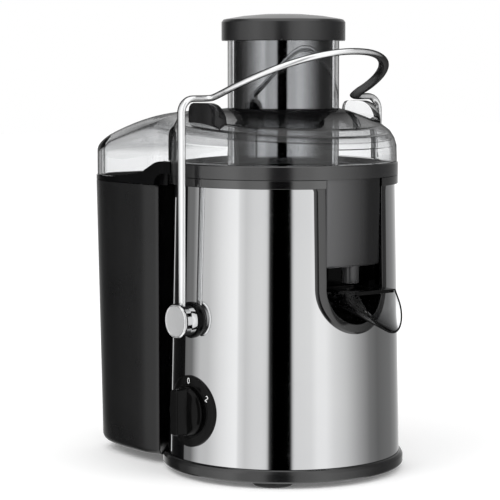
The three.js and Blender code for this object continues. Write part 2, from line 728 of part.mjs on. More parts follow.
for (const [name, side] of sides) {
  place(`brush_${name}`, 'carbon', brush(side));
  place(`brush_holder_${name}`, 'greyPlastic', brushHolder(side));
  place(`hub_washer_${name}`, 'rubber', hubWasher(side));
  place(`lock_pad_${name}`, side < 0 ? 'satinBlack' : 'smoked', lockPad(side));
  place(`hub_${name}`, 'chrome', hub(side));
  place(`pivot_pin_${name}`, 'steel', pivotPin(side));
}
place('lock_arm', 'chrome', lockArm());
place('speed_knob', 'glossBlack', speedKnob());
place('pusher_body', 'glossBlack', pusherBody());
place('pusher_cap', 'satinBlack', pusherCap());
place('pulp_bin', 'satinBlack', pulpBin());
place('drip_spout', 'smoked', dripSpout());
place('motor_shaft', 'steel', motorShaft());
place('armature', 'copper', armature());
place('commutator', 'copper', commutator());
place('cooling_fan', 'greyPlastic', coolingFan());
place('drive_coupling', 'satinBlack', driveCoupling());
place('basket_base', 'greyPlastic', basketBase());
place('grater_disc', 'steel', graterDisc());
place('filter_mesh', 'steel', filterMesh());
place('basket_rim', 'greyPlastic', basketRim());

// The origin is the middle of the footprint, at the height of the undersides of the feet.
juicer.position.set((binBack - spoutTip) / 2, (knobTip - hubFace) / 2, footHeight);

export default juicer;
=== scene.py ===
import json
import math

import bmesh
import bpy
from mathutils import Matrix, Vector


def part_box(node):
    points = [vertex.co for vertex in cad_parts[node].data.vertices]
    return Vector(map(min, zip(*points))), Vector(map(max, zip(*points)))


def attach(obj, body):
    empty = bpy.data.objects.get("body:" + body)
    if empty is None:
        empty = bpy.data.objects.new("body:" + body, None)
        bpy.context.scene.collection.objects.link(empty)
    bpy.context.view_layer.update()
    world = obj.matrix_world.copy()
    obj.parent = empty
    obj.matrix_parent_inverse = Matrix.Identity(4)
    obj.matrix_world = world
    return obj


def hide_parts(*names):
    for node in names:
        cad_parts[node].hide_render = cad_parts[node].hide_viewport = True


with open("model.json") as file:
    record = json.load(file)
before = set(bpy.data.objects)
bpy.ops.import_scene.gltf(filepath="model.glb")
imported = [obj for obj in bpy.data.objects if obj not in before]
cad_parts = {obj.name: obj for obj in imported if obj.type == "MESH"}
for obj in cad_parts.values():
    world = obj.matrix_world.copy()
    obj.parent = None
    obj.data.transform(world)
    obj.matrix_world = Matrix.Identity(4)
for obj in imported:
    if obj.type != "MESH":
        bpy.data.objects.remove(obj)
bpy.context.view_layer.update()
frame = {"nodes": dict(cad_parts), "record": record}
print("frame loaded:", len(frame["nodes"]), "nodes")

# The pieces are drawn in millimetres about the body's axis, with z = 0 at the underside of the base ring.
capLow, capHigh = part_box("pusher_cap")
bodyAxis = Vector(((capLow[0] + capHigh[0]) / 2, (capLow[1] + capHigh[1]) / 2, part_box("base_ring")[0][2]))
millimetre = 0.001
pivotHeight = 114.6


def mix(low, high, share):
    return low + (high - low) * share


def clamp(value, low=0.0, high=1.0):
    return max(low, min(high, value))


def toFrame(point):
    return bodyAxis + Vector(point) * millimetre


# Outlines and surfaces

def soften(points, radius=0.0, steps=4, closed=False):
    # Rounds the corners of a line of (a, b) or (a, b, own radius) points.
    result = []
    count = len(points)
    for i, point in enumerate(points):
        own = point[2] if len(point) > 2 else radius
        here = Vector(point[:2])
        if own <= 0 or (not closed and i in (0, count - 1)):
            result.append(here)
            continue
        before = Vector(points[i - 1][:2]) - here
        after = Vector(points[(i + 1) % count][:2]) - here
        turn = math.pi - before.angle(after, math.pi)
        reach = min(own * math.tan(turn / 2), 0.45 * before.length, 0.45 * after.length)
        start = here + before.normalized() * reach
        end = here + after.normalized() * reach
        for k in range(steps + 1):
            t = k / steps
            result.append(start * (1 - t) ** 2 + here * 2 * t * (1 - t) + end * t ** 2)
    return [(p[0], p[1]) for p in result]


def revolve(profile, segments=128, low=0.0, high=360.0):
    # A turned surface from [radius, z] points: whole, or between two angles with closed ends.
    whole = high - low > 359.9
    count = segments if whole else segments + 1
    points, faces, rows = [], [], []
    onAxis = profile[0][0] < 1e-6 and profile[-1][0] < 1e-6
    for r, z in profile:
        if r < 1e-6:
            rows.append([len(points)] * count)
            points.append((0, 0, z))
            continue
        rows.append(list(range(len(points), len(points) + count)))
        for k in range(count):
            a = math.radians(mix(low, high, k / segments))
            points.append((r * math.cos(a), r * math.sin(a), z))
    bands = len(rows) - 1 if onAxis else len(rows)
    for i in range(bands):
        a, b = rows[i], rows[(i + 1) % len(rows)]
        for k in range(segments):
            n = (k + 1) % count
            corners = []
            for index in (a[k], a[n], b[n], b[k]):
                if index not in corners:
                    corners.append(index)
            if len(corners) > 2:
                faces.append(corners)
    if not whole:
        faces.append([row[0] for row in rows])
        faces.append([row[-1] for row in reversed(rows)])
    return points, faces


def rod(radius, low, high, segments=32):
    return revolve([(0, low), (radius, low), (radius, high), (0, high)], segments)


def loft(rings, capped=True):
    # A skin through closed rings of equal length.
    count = len(rings[0])
    points = [tuple(p) for ring in rings for p in ring]
    faces = []
    for i in range(len(rings) - 1):
        for k in range(count):
            n = (k + 1) % count
            faces.append([i * count + k, i * count + n, (i + 1) * count + n, (i + 1) * count + k])
    if capped:
        faces.append(list(range(count - 1, -1, -1)))
        faces.append([(len(rings) - 1) * count + k for k in range(count)])
    return points, faces


def prism(outline, low, high):
    return loft([[(x, y, low) for x, y in outline], [(x, y, high) for x, y in outline]])


def prismAlongY(outline, low, high):
    return loft([[(x, low, z) for x, z in outline], [(x, high, z) for x, z in outline]])


def onSide(side, near, far):
    # Two distances from the middle, as low and high places on the near side, -1, or the far side, 1.
    return sorted((side * near, side * far))


def block(low, high):
    outline = [(low[0], low[1]), (high[0], low[1]), (high[0], high[1]), (low[0], high[1])]
    return prism(outline, low[2], high[2])


def inset(outline, distance):
    # Moves a counter-clockwise outline inward.
    result = []
    count = len(outline)
    for i, point in enumerate(outline):
        before = Vector(point) - Vector(outline[i - 1])
        after = Vector(outline[(i + 1) % count]) - Vector(point)
        normal = Vector((-before.y, before.x)).normalized() + Vector((-after.y, after.x)).normalized()
        normal.normalize()
        result.append((point[0] + normal.x * distance, point[1] + normal.y * distance))
    return result


def moved(shape, change):
    points, faces = shape
    return [tuple(change(*p)) for p in points], faces


def shifted(shape, x, y):
    return moved(shape, lambda a, b, c: (a + x, b + y, c))


def alongY(shape, side, height, across=0.0):
    # Lays a turned shape down along Y on the given side.
    return moved(shape, lambda x, y, z: (across + x, side * z, height + side * y))


# Meshes

def placed(name, data):
    made = bpy.data.objects.new(name, data)
    bpy.context.scene.collection.objects.link(made)
    return made


def solid(shape):
    mesh = bpy.data.meshes.new("tool")
    mesh.from_pydata([Vector(p) for p in shape[0]], [], shape[1])
    mesh.validate()
    modelling = bmesh.new()
    modelling.from_mesh(mesh)
    bmesh.ops.remove_doubles(modelling, verts=modelling.verts, dist=1e-5)
    bmesh.ops.recalc_face_normals(modelling, faces=modelling.faces)
    modelling.to_mesh(mesh)
    modelling.free()
    return placed("tool", mesh)


def applied(made):
    bpy.context.view_layer.update()
    view = bpy.context.evaluated_depsgraph_get()
    mesh = bpy.data.meshes.new_from_object(made.evaluated_get(view))
    old = made.data
    made.modifiers.clear()
    made.data = mesh
    bpy.data.meshes.remove(old)


def combine(base, how, *tools):
    for tool in tools:
        change = base.modifiers.new("combine", "BOOLEAN")
        change.operation = how
        change.solver = "MANIFOLD"
        change.object = tool
    applied(base)
    for tool in tools:
        bpy.data.objects.remove(tool)
    return base


def cut(base, *tools):
    return combine(base, "DIFFERENCE", *tools)


def joined(base, *tools):
    return combine(base, "UNION", *tools)


def overlap(base, *tools):
    return combine(base, "INTERSECT", *tools)


def smoothed(route, steps=4):
    # A Catmull-Rom line through the points of the route.
    result = []
    for i in range(len(route) - 1):
        a, b, c, d = (route[min(max(k, 0), len(route) - 1)] for k in (i - 1, i, i + 1, i + 2))
        for k in range(steps):
            t = k / steps
            result.append(0.5 * ((2 * b) + (c - a) * t + (2 * a - 5 * b + 4 * c - d) * t * t
                                 + (3 * b - 3 * c + d - a) * t ** 3))
    return result + [route[-1]]


def strip(line, section, sides):
    # An oval strip along a line of points; section gives its two half widths at a point.
    rings = []
    across = Vector((1, 0, 0))
    turns = [2 * math.pi * k / sides for k in range(sides)]
    for i, spot in enumerate(line):
        ahead = (line[min(i + 1, len(line) - 1)] - line[max(i - 1, 0)]).normalized()
        across = (across - ahead * across.dot(ahead)).normalized()
        beside = ahead.cross(across)
        wide, thin = section(spot)
        rings.append([spot + across * wide * math.cos(a) + beside * thin * math.sin(a) for a in turns])
    return loft(rings)


def bead(line, radius):
    return strip(line, lambda spot: (radius, radius), 10)


def bevelled(made, width, segments=2, angle=40):
    change = made.modifiers.new("edges", "BEVEL")
    change.width = width
    change.segments = segments
    change.limit_method = "ANGLE"
    change.angle_limit = math.radians(angle)
    change.harden_normals = False
    applied(made)
    return made


def piece(made, name, finish, body, replaced=(), sharp=32):
    # Turns a drawn solid into a finished piece in the frame.
    if isinstance(made, tuple):
        made = solid(made)
    made.name = name
    made.data.name = name
    made.data.transform(Matrix.Translation(bodyAxis) @ Matrix.Scale(millimetre, 4))
    made.data.shade_smooth()
    made.data.set_sharp_from_angle(angle=math.radians(sharp))
    made.data.materials.clear()
    made.data.materials.append(finish)
    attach(made, body)
    if replaced:
        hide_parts(*replaced)
    return made


# Finishes

class Wire:
    def __init__(self, tree, socket=None):
        self.tree = tree
        self.socket = socket

    def add(self, kind, settings=None, inputs=None, output=0):
        made = self.tree.nodes.new("ShaderNode" + kind)
        for name, value in (settings or {}).items():
            if name == "stops":
                ramp = made.color_ramp
                ramp.elements.remove(ramp.elements[1])
                for k, (spot, tone) in enumerate(value):
                    element = ramp.elements[0] if k == 0 else ramp.elements.new(spot)
                    element.position = spot
                    element.color = (tone, tone, tone, 1) if isinstance(tone, (int, float)) else (*tone, 1)
            else:
                setattr(made, name, value)
        for name, value in (inputs or {}).items():
            if isinstance(value, Wire):
                self.tree.links.new(value.socket, made.inputs[name])
            else:
                made.inputs[name].default_value = value
        return Wire(self.tree, made.outputs[output] if len(made.outputs) else None)

    def maths(self, operation, *values):
        return self.add("Math", {"operation": operation}, dict(enumerate(values)))

    def __add__(self, other):
        return self.maths("ADD", self, other)

    def __radd__(self, other):
        return self.maths("ADD", other, self)

    def __sub__(self, other):
        return self.maths("SUBTRACT", self, other)

    def __rsub__(self, other):
        return self.maths("SUBTRACT", other, self)

    def __mul__(self, other):
        return self.maths("MULTIPLY", self, other)

    def __rmul__(self, other):
        return self.maths("MULTIPLY", other, self)

    def __pow__(self, other):
        return self.maths("POWER", self, other)

    def place(self):
        return self.add("TexCoord", output=3)

    def vectors(self, operation, first, second):
        return self.add("VectorMath", {"operation": operation}, {0: first, 1: second})

    def noise(self, scale, detail=2.0, stretch=(1, 1, 1)):
        spot = self.vectors("MULTIPLY", self.place(), stretch)
        return self.add("TexNoise", None, {"Vector": spot, "Scale": scale, "Detail": detail})

    def band(self, value, low, high):
        return self.add("MapRange", None, {"Value": value, "From Min": low, "From Max": high})

    def blend(self, share, first, second):
        return self.add("Mix", {"data_type": "RGBA"}, {0: share, 6: first, 7: second}, 2)

    def tint(self, share, first, second):
        return self.blend(share, (*first, 1), (*second, 1))

    def facing(self):
        return self.add("LayerWeight", None, {"Blend": 0.5}, "Facing")

    def normal(self, axis):
        # How far the surface faces along an axis, either way.
        return self.maths("ABSOLUTE", self.part(self.add("NewGeometry", output="Normal"), axis))

    def part(self, vector, axis):
        return self.add("SeparateXYZ", None, {0: vector}, axis)

    def fromAxis(self, height=0.0):
        # The place, counted from a height on the body's axis.
        return self.vectors("SUBTRACT", self.place(), tuple(toFrame((0, 0, height))))

    def turnOf(self, spot):
        return self.maths("ARCTAN2", self.part(spot, 1), self.part(spot, 0))

    def around(self, height, keep=(1, 1, 0)):
        # Distance from a height on the body's axis, counting only the kept directions.
        flat = self.vectors("MULTIPLY", self.fromAxis(height), keep)
        return self.add("VectorMath", {"operation": "LENGTH"}, {0: flat}, 1)

    def bump(self, height, strength, distance):
        return self.add("Bump", None, {"Height": height, "Strength": strength, "Distance": distance})


def finish(name, recipe, **fixed):
    material = bpy.data.materials.new(name)
    material.use_nodes = True
    material.node_tree.nodes.clear()
    wire = Wire(material.node_tree)
    inputs = {key.replace("_", " "): value for key, value in fixed.items()}
    inputs.update(recipe(wire))
    outline = inputs.pop("PaintedDarkRim", None)
    surface = wire.add("BsdfPrincipled", None, inputs)
    if outline is not None:
        # A painted dark rim, standing in for shade and dark reflections where the surface turns away, laid
        # over the finish.
        paintedDark = wire.add("BsdfDiffuse", None, {"Color": (0.004, 0.004, 0.0042, 1)})
        surface = wire.add("MixShader", None, {0: outline, 1: surface, 2: paintedDark})
    wire.add("OutputMaterial", None, {"Surface": surface})
    return material


def moulded(tone, roughness, grain=0.06, scale=1500):
    # Moulded plastic: a fine grain, patches of wear and a little dust.
    def recipe(wire):
        patches = wire.band(wire.noise(16, 4), 0.35, 0.65)
        rubs = wire.band(wire.noise(60, 5, (1, 1, 0.25)), 0.58, 0.7)
        light = tuple(channel * 1.35 + 0.002 for channel in tone)
        return {
            "Base Color": wire.tint(patches * 0.6 + rubs * 0.4, tone, light),
            "Roughness": patches * 0.05 + rubs * 0.04 + roughness,
            "Normal": wire.bump(wire.noise(scale, 3), grain, 0.0002),
        }
    return recipe


def polishedSheet(wire):
    # Rolled sheet polished lengthwise, with faint wipe marks.
    grain = wire.noise(900, 3, (0.04, 0.04, 1))
    smears = wire.band(wire.noise(11, 5), 0.4, 0.75)
    scratches = wire.band(wire.noise(240, 4, (0.05, 0.05, 1)), 0.62, 0.72)
    return {
        "Base Color": wire.tint(smears, (0.8, 0.805, 0.81), (0.76, 0.765, 0.775)),
        "Roughness": smears * 0.025 + scratches * 0.03 + 0.055,
        "Normal": wire.bump(grain, 0.02, 0.00005),
    }


def plated(tone, roughness, edge=None, paintedRimStrength=1.0):
    # Bright metal with a light haze, and a painted dark rim, standing in for dark reflections, where it turns
    # away.
    def recipe(wire):
        haze = wire.band(wire.noise(45, 4), 0.45, 0.8)
        pits = wire.band(wire.noise(700, 2), 0.66, 0.72)
        outline = {"PaintedDarkRim": wire.band(wire.facing(), *edge) * paintedRimStrength} if edge else {}
        return {
            **outline,
            "Base Color": wire.tint(haze, tone, tuple(channel * 0.93 for channel in tone)),
            "Roughness": haze * 0.03 + pits * 0.1 + roughness,
            "Normal": wire.bump(wire.noise(500, 2), 0.01, 0.00004),
        }
    return recipe


def turnedFace(wire):
    # Fine rings left by the lathe on the hub faces, about the handle's pivot; the sides are mirror bright,
    # with a painted dark rim, standing in for dark reflections, where they turn away.
    radius = wire.around(pivotHeight, (1, 0, 1))
    rings = wire.add("TexNoise", {"noise_dimensions": "1D"},
                     {"W": radius * 1500, "Scale": 1.6, "Detail": 3.0})
    flatness = wire.maths("GREATER_THAN", wire.normal(1), 0.97)
    face = flatness * (1 - wire.band(radius, 0.0112, 0.0115))
    ground = wire.tint(rings, (0.86, 0.865, 0.87), (0.74, 0.745, 0.75))
    return {
        "PaintedDarkRim": wire.band(wire.facing(), 0.34, 0.5) * (1 - flatness) * 0.97,
        "Metallic": 1 - flatness * 0.3,
        "Base Color": wire.blend(flatness, (0.95, 0.955, 0.96, 1), ground),
        "Roughness": face * 0.34 + 0.04,
        "Normal": wire.bump(rings * face, 0.1, 0.00008),
    }


def clearMoulding(wire, tone):
    # The colour of a clear moulding, and what its fine scuffs and slow waves do to its shine.
    scuffs = wire.band(wire.noise(190, 5, (1, 1, 0.2)), 0.62, 0.78)
    colour = wire.tint(scuffs, tone, tuple(channel * 0.97 for channel in tone))
    return colour, {"Roughness": scuffs * 0.05 + 0.012, "Normal": wire.bump(wire.noise(26, 2), 0.02, 0.0006)}


def clearPlastic(tone, paintedRimTone, edge):
    # Clear, with painted shade that darkens it where it turns away, and a painted dark rim there.
    def recipe(wire):
        colour, shine = clearMoulding(wire, tone)
        paintedRim = wire.band(wire.facing(), *edge)
        return {
            **shine,
            "PaintedDarkRim": paintedRim * 0.9,
            "Base Color": wire.blend(paintedRim, colour, (*paintedRimTone, 1)),
        }
    return recipe


def clearDome(tone, paintedRimTone, paintedDeepShade, paintedCrownShade, paintedHoodShade):
    # The lid, with painted shade: darker over its crown and its hood, and a painted dark line where the crown
    # turns down.
    def recipe(wire):
        colour, shine = clearMoulding(wire, tone)
        upright = wire.normal(2)
        slope = wire.band(upright, 0.35, 0.8)
        radius = wire.around(0)
        overBin = wire.band(wire.part(wire.fromAxis(), 0) * -1, 0.06, 0.085)
        crown = wire.blend(wire.band(radius, 0.055, 0.078), (*paintedDeepShade, 1), (*paintedCrownShade, 1))
        top = wire.blend(overBin, crown, (*paintedHoodShade, 1))
        paintedFoldLine = wire.band(upright, 0.4, 0.46) * (1 - wire.band(upright, 0.54, 0.6)) * (1 - overBin)
        paintedRim = wire.band(wire.facing(), 0.72, 0.92)
        deep = slope * (1 - wire.band(radius, 0.052, 0.066)) * (1 - overBin)
        paintedDark = wire.maths("MAXIMUM", paintedRim * 0.85, deep * 0.85)
        return {
            **shine,
            "PaintedDarkRim": wire.maths("MAXIMUM", paintedDark, paintedFoldLine * 0.28),
            "Base Color": wire.blend(paintedRim, wire.blend(slope, colour, top), (*paintedRimTone, 1)),
        }
    return recipe


def paintedShadePanel(light, paintedDark):
    # Gloss panel of the juice duct, with painted shade: paler toward the knob side and darker away from it.
    def recipe(wire):
        across = wire.band(wire.part(wire.fromAxis(), 1), -0.026, 0.012)
        rubs = wire.band(wire.noise(60, 5, (1, 1, 0.25)), 0.58, 0.75)
        return {
            "Base Color": wire.tint(across, light, paintedDark),
            "Roughness": rubs * 0.05 + 0.14,
            "Normal": wire.bump(wire.noise(1500, 3), 0.02, 0.0002),
        }
    return recipe


def rubbery(wire):
    dust = wire.band(wire.noise(120, 5), 0.45, 0.75)
    return {
        "Base Color": wire.tint(dust, (0.012, 0.012, 0.012), (0.035, 0.034, 0.033)),
        "Roughness": dust * 0.12 + 0.62,
        "Normal": wire.bump(wire.noise(1300, 3), 0.25, 0.0003),
    }


def paleSurface(wire):
    mottle = wire.noise(1.5, 1)
    return {
        "Base Color": wire.tint(mottle, (0.97, 0.97, 0.97), (0.99, 0.99, 0.99)),
        "Roughness": mottle * 0.1 + 0.7,
        "Emission Color": (1, 1, 1, 1),
        "Emission Strength": 0.1,
    }


def layered(first, second, pitch, metal):
    # Stacked laminations or turns of wire, seen as fine lines across Z.
    def recipe(wire):
        lines = wire.add("TexWave", {"wave_type": "BANDS", "bands_direction": "Z"},
                         {"Vector": wire.place(), "Scale": pitch, "Distortion": 0.4, "Detail": 1.0})
        stain = wire.band(wire.noise(80, 4), 0.4, 0.7)
        return {
            "Base Color": wire.tint(lines * 0.7 + stain * 0.3, first, second),
            "Roughness": stain * 0.15 + 0.3,
            "Metallic": 1 - stain * (1 - metal),
            "Normal": wire.bump(lines, 0.5, 0.0002),
        }
    return recipe


def perforated(wire):
    # Thin sheet with rows of fine holes, which read as dark dots.
    spot = wire.fromAxis(190)
    across = wire.maths("SINE", wire.turnOf(spot) * 180)
    up = wire.maths("SINE", wire.part(spot, 2) * 4200)
    holes = wire.band(across * up, 0.25, 0.45)
    return {
        "Base Color": wire.tint(holes, (0.78, 0.785, 0.79), (0.03, 0.03, 0.03)),
        "Roughness": holes * 0.4 + 0.16,
        "Metallic": 1 - holes,
        "Normal": wire.bump(1 - holes, 0.5, 0.0003),
    }


steelSheet = finish("polishedSleeve", polishedSheet, Metallic=1.0)
steelPart = finish("turnedSteel", plated((0.62, 0.63, 0.64), 0.2), Metallic=1.0)
chrome = finish("chromePlate", plated((0.95, 0.955, 0.96), 0.025), Metallic=1.0)
# The arm's chrome carries a painted dark rim where it turns away.
armChrome = finish("armChrome", plated((0.98, 0.985, 0.99), 0.03, (0.42, 0.6), 0.95), Metallic=0.7)
hubSteel = finish("turnedHub", turnedFace)
meshSteel = finish("perforatedSteel", perforated)
shellBlack = finish("glossShell", moulded((0.0015, 0.0015, 0.0017), 0.08, 0.015, 500), IOR=1.2)
trimBlack = finish("satinTrim", moulded((0.003, 0.003, 0.0033), 0.11, 0.02), IOR=2.2)
bandBlack = finish("satinBand", moulded((0.008, 0.008, 0.0085), 0.18, 0.03), IOR=2.0)
baseBlack = finish("satinBase", moulded((0.003, 0.003, 0.0033), 0.15, 0.03), IOR=1.9)
binBlack = finish("satinBin", moulded((0.005, 0.005, 0.0053), 0.26, 0.1), IOR=1.6)
capBlack = finish("satinCap", moulded((0.006, 0.006, 0.0065), 0.25, 0.06), IOR=1.8)
dialBlack = finish("dialGloss", moulded((0.0015, 0.0015, 0.0015), 0.1, 0.03), IOR=1.24)
# The pusher's gloss carries a painted dark rim where it turns away.
pusherMirror = finish("pusherGloss", plated((0.4, 0.405, 0.415), 0.04, (0.08, 0.36), 0.9), Metallic=1.0)
greyPlastic = finish("greyMoulding", moulded((0.1, 0.1, 0.105), 0.4, 0.12))
# The duct's colour runs from pale to dark across it, painted shade.
ductGrey = finish("ductGloss", paintedShadePanel((0.075, 0.075, 0.077), (0.006, 0.006, 0.0063)), IOR=1.6)
rubber = finish("blackRubber", rubbery)
# The lid's crown, hood and rim tones are painted shade.
smoked = finish("smokedClear", clearDome(
    (0.95, 0.955, 0.96), (0.1, 0.1, 0.105), (0.08, 0.08, 0.083), (0.6, 0.605, 0.61), (0.5, 0.505, 0.51)),
    IOR=1.4, Transmission_Weight=1.0)
# The clear pad and the spout take painted shade and a painted dark rim where they turn away.
padClear = finish("padClear", clearPlastic((0.9, 0.905, 0.91), (0.05, 0.05, 0.053), (0.45, 0.75)),
                  IOR=1.46, Transmission_Weight=1.0)
spoutClear = finish("spoutClear", clearPlastic((0.95, 0.955, 0.96), (0.03, 0.03, 0.033), (0.35, 0.8)),
                    IOR=1.16, Transmission_Weight=1.0)
# Black gloss for the front lock pad and the hood's corner blocks, painted shade.
paintedShadeBlack = finish("paintedShadeBlack", moulded((0.006, 0.006, 0.0063), 0.09, 0.03), IOR=1.5)
frameBlack = finish("satinFrame", moulded((0.003, 0.003, 0.0033), 0.11, 0.02), IOR=1.9)
copper = finish("woundCopper", layered((0.42, 0.16, 0.07), (0.75, 0.38, 0.2), 260, 0.85))
iron = finish("stackedIron", layered((0.2, 0.2, 0.21), (0.42, 0.42, 0.43), 330, 0.8))
carbon = finish("pressedCarbon", moulded((0.03, 0.03, 0.03), 0.55, 0.2))
whiteMark = finish("printedMark", moulded((0.72, 0.72, 0.72), 0.4, 0.03))
print("finishes ready")

# Nodes that stay as they are take a finish by their slot in the record.
slotFinish = {
    "satin_black": baseBlack, "gloss_black": shellBlack, "grey_plastic": greyPlastic,
    "steel": steelPart, "chrome": chrome, "iron": iron, "copper": copper, "carbon": carbon,
    "smoked_clear": smoked, "rubber": rubber,
}
for subpart in frame["record"]["subparts"]:
    kept = frame["nodes"][subpart["node"]]
    kept.data.materials.clear()
    kept.data.materials.append(slotFinish[subpart["material_slot"]])
    kept.data.shade_smooth()
    kept.data.set_sharp_from_angle(angle=math.radians(30))

# Base
base = {"radius": 91.5, "height": 9.5, "feet": ((52, -51), (52, 51), (-52, -51), (-52, 51)),
        "screws": ((74, 0), (0, 74), (-74, 0), (0, -74))}
ringProfile = soften([
    (79.9, 0, 0.3), (90.6, 0, 0.8), (base["radius"], 1.4, 0.8), (base["radius"], 6.6, 1.2),
    (90.3, 8.8, 1.0), (89.3, base["height"], 0.4), (82, base["height"], 0.3), (82, 5.6, 0), (68, 5.6, 0.4),
    (68, 3.3, 0.4), (79.9, 3.3, 0),
])
baseRing = joined(solid(revolve(ringProfile, 160)), solid(block((-118, -26, 0), (-84, 26, 5.8))))
screwWells = [solid(shifted(rod(1.9, 2, 7, 20), a, b)) for a, b in base["screws"]]
piece(cut(baseRing, *screwWells), "baseRing", baseBlack, "housing", ["base_ring"])

footProfile = soften([
    (0, -4, 0), (4, -4, 0.2), (4.6, -3.5, 0.3), (6.4, -3.5, 0.3), (7, -4, 0.3), (13.8, -4, 0.8),
    (15, -2.8, 0.8), (15, -0.3, 0.3), (3.5, -0.3, 0), (3.5, 2.9, 0.4), (0, 2.9, 0),
])
for i, (a, b) in enumerate(base["feet"], 1):
    foot = shifted(revolve(footProfile, 48), a, b)
    piece(foot, f"rubberFoot{i}", rubber, "housing", [f"foot_{i}"])
print("base done")

# Body
body = {"foot": 9.8, "top": 212.2, "footRadius": 88.5, "topRadius": 84.1, "sheet": 1.2, "shell": 4.2,
        "steelTurn": 95, "dial": 47, "dialBore": 5.5, "pinHeight": 138, "pinAcross": 70, "above": 230,
        "pocketHalf": 26.5, "pocketCentre": 140, "pocketDepth": 60.5, "liner": 2.4, "outside": 110}


def bodyRadius(z):
    return mix(body["footRadius"], body["topRadius"], (z - body["foot"]) / (body["top"] - body["foot"]))


def skin(inner, outer, low, high, turn=180, rows=1, segments=160):
    # The tapered wall of the body between two offsets from its outside.
    heights = [mix(low, high, k / rows) for k in range(rows + 1)]
    profile = [(bodyRadius(z) + outer, z) for z in heights]
    profile += [(bodyRadius(z) + inner, z) for z in reversed(heights)]
    return revolve(profile, segments, -turn, turn)


def pocket(half, near, far, top=260):
    # The U-shaped outline of the spout recess, run along X.
    outline = [(half, top), (-half, top)]
    for k in range(33):
        a = math.pi + math.pi * k / 32
        outline.append((half * math.cos(a), body["pocketCentre"] + half * math.sin(a)))
    return loft([[(near, y, z) for y, z in outline], [(far, y, z) for y, z in outline]])


def bores(radius, near, far, height, across=0.0, sides=(-1, 1)):
    return [solid(alongY(rod(radius, near, far), side, height, across)) for side in sides]


def wallBores(pivotRadius):
    # Through the wall of the body: the handle's pivots and the stem of the knob.
    pivots = bores(pivotRadius, 70, 100, pivotHeight)
    return pivots + bores(body["dialBore"], 70, 100, body["dial"], sides=(-1,))


sheet = skin(-body["sheet"], 0, body["foot"], body["top"], body["steelTurn"], 24, 240)
sleeve = cut(solid(sheet), solid(pocket(31.3, 40, body["outside"])), *wallBores(4.7))


def radialNormals(made, tolerance=0.02):
    # Gives the outside of the sheet the normals of a true cone, so its reflections run straight.
    mesh = made.data
    slope = (body["footRadius"] - body["topRadius"]) / (body["top"] - body["foot"])
    normals = []
    for polygon in mesh.polygons:
        for index in polygon.vertices:
            spot = (mesh.vertices[index].co - bodyAxis) / millimetre
            radius = math.hypot(spot.x, spot.y)
            outside = abs(radius - bodyRadius(spot.z)) < tolerance
            radial = Vector((spot.x / radius, spot.y / radius, slope)).normalized()
            faces = polygon.normal.dot(radial) > 0.97
            normals.append(radial if outside and faces else polygon.normal.copy())
    mesh.normals_split_custom_set(normals)


sleevePiece = piece(sleeve, "steelSleeve", steelSheet, "housing", ["steel_sleeve"])
radialNormals(sleevePiece)

shell = solid(skin(-body["shell"], 0, body["foot"], body["top"], 180, 6, 192))
steelSeat = skin(-body["sheet"] - 0.3, 5, 0, body["above"], body["steelTurn"] + 0.2, 1, 128)
rearStep = [
    (bodyRadius(0) - 0.8, 0), (99, 0), (99, body["above"]), (bodyRadius(body["above"]) - 0.8, body["above"]),
]
rearCut = revolve(rearStep, 96, 111, 249)
linerHalf = body["pocketHalf"] + body["liner"]
linerRoom = [(0, 0), (bodyRadius(0) - 1.5, 0), (bodyRadius(216) - 1.5, 216), (0, 216)]
liner = solid(pocket(linerHalf, body["pocketDepth"] - body["liner"], 95, body["top"]))
liner = overlap(liner, solid(revolve(linerRoom, 160)))
liner = cut(liner, solid(rod(79.7, 165, 240, 128)))
shell = cut(joined(shell, liner), solid(pocket(body["pocketHalf"], body["pocketDepth"], body["outside"])))
shell = cut(shell, solid(steelSeat), solid(rearCut))
ears = []
for side in (-1, 1):
    low, high = onSide(side, 20.4, 27.5)
    ears.append(solid(block((65, low, 133), (75, high, 143))))
inlet = {"turn": math.radians(118), "height": 26, "radius": 8.3}
inletHole = moved(rod(inlet["radius"], 70, 100, 40), lambda x, y, z: (
    z * math.cos(inlet["turn"]) - y * math.sin(inlet["turn"]),
    z * math.sin(inlet["turn"]) + y * math.cos(inlet["turn"]),
    inlet["height"] + x,
))
pinBores = bores(2.2, 18, 23.5, body["pinHeight"], body["pinAcross"])
shell = cut(joined(shell, *ears), *pinBores, *wallBores(4.5), solid(inletHole))
piece(shell, "bodyShell", shellBlack, "housing", ["body_shell"])
print("body done")

# Body trim: the band at the top and the frame of the recess
trim = {"radius": 86.5, "inside": 80.3, "low": 212.5, "top": 218.7, "half": 30.25, "reach": 3.75,
        "proud": 1.9, "flare": 1.6}
bandProfile = soften([
    (trim["inside"], trim["low"], 0.3), (trim["radius"], trim["low"], 0.5),
    (trim["radius"], trim["top"], 0.5), (trim["inside"], trim["top"], 0.3),
])
trimBand = solid(revolve(bandProfile, 192))
trimBand = cut(trimBand, solid(pocket(body["pocketHalf"], 50, body["outside"])))
piece(trimBand, "trimBand", trimBlack, "housing", ["body_trim"])


def framePath():
    stations = []
    top = 215.5
    low = body["pocketCentre"]
    for k in range(30):
        stations.append(((-trim["half"], mix(top, low, (k / 29) ** 0.8)), (-1, 0)))
    for k in range(1, 41):
        a = math.pi + math.pi * k / 41
        normal = (math.cos(a), math.sin(a))
        stations.append(((trim["half"] * normal[0], low + trim["half"] * normal[1]), normal))
    for k in range(30):
        stations.append(((trim["half"], mix(low, top, (k / 29) ** 1.25)), (1, 0)))
    return stations


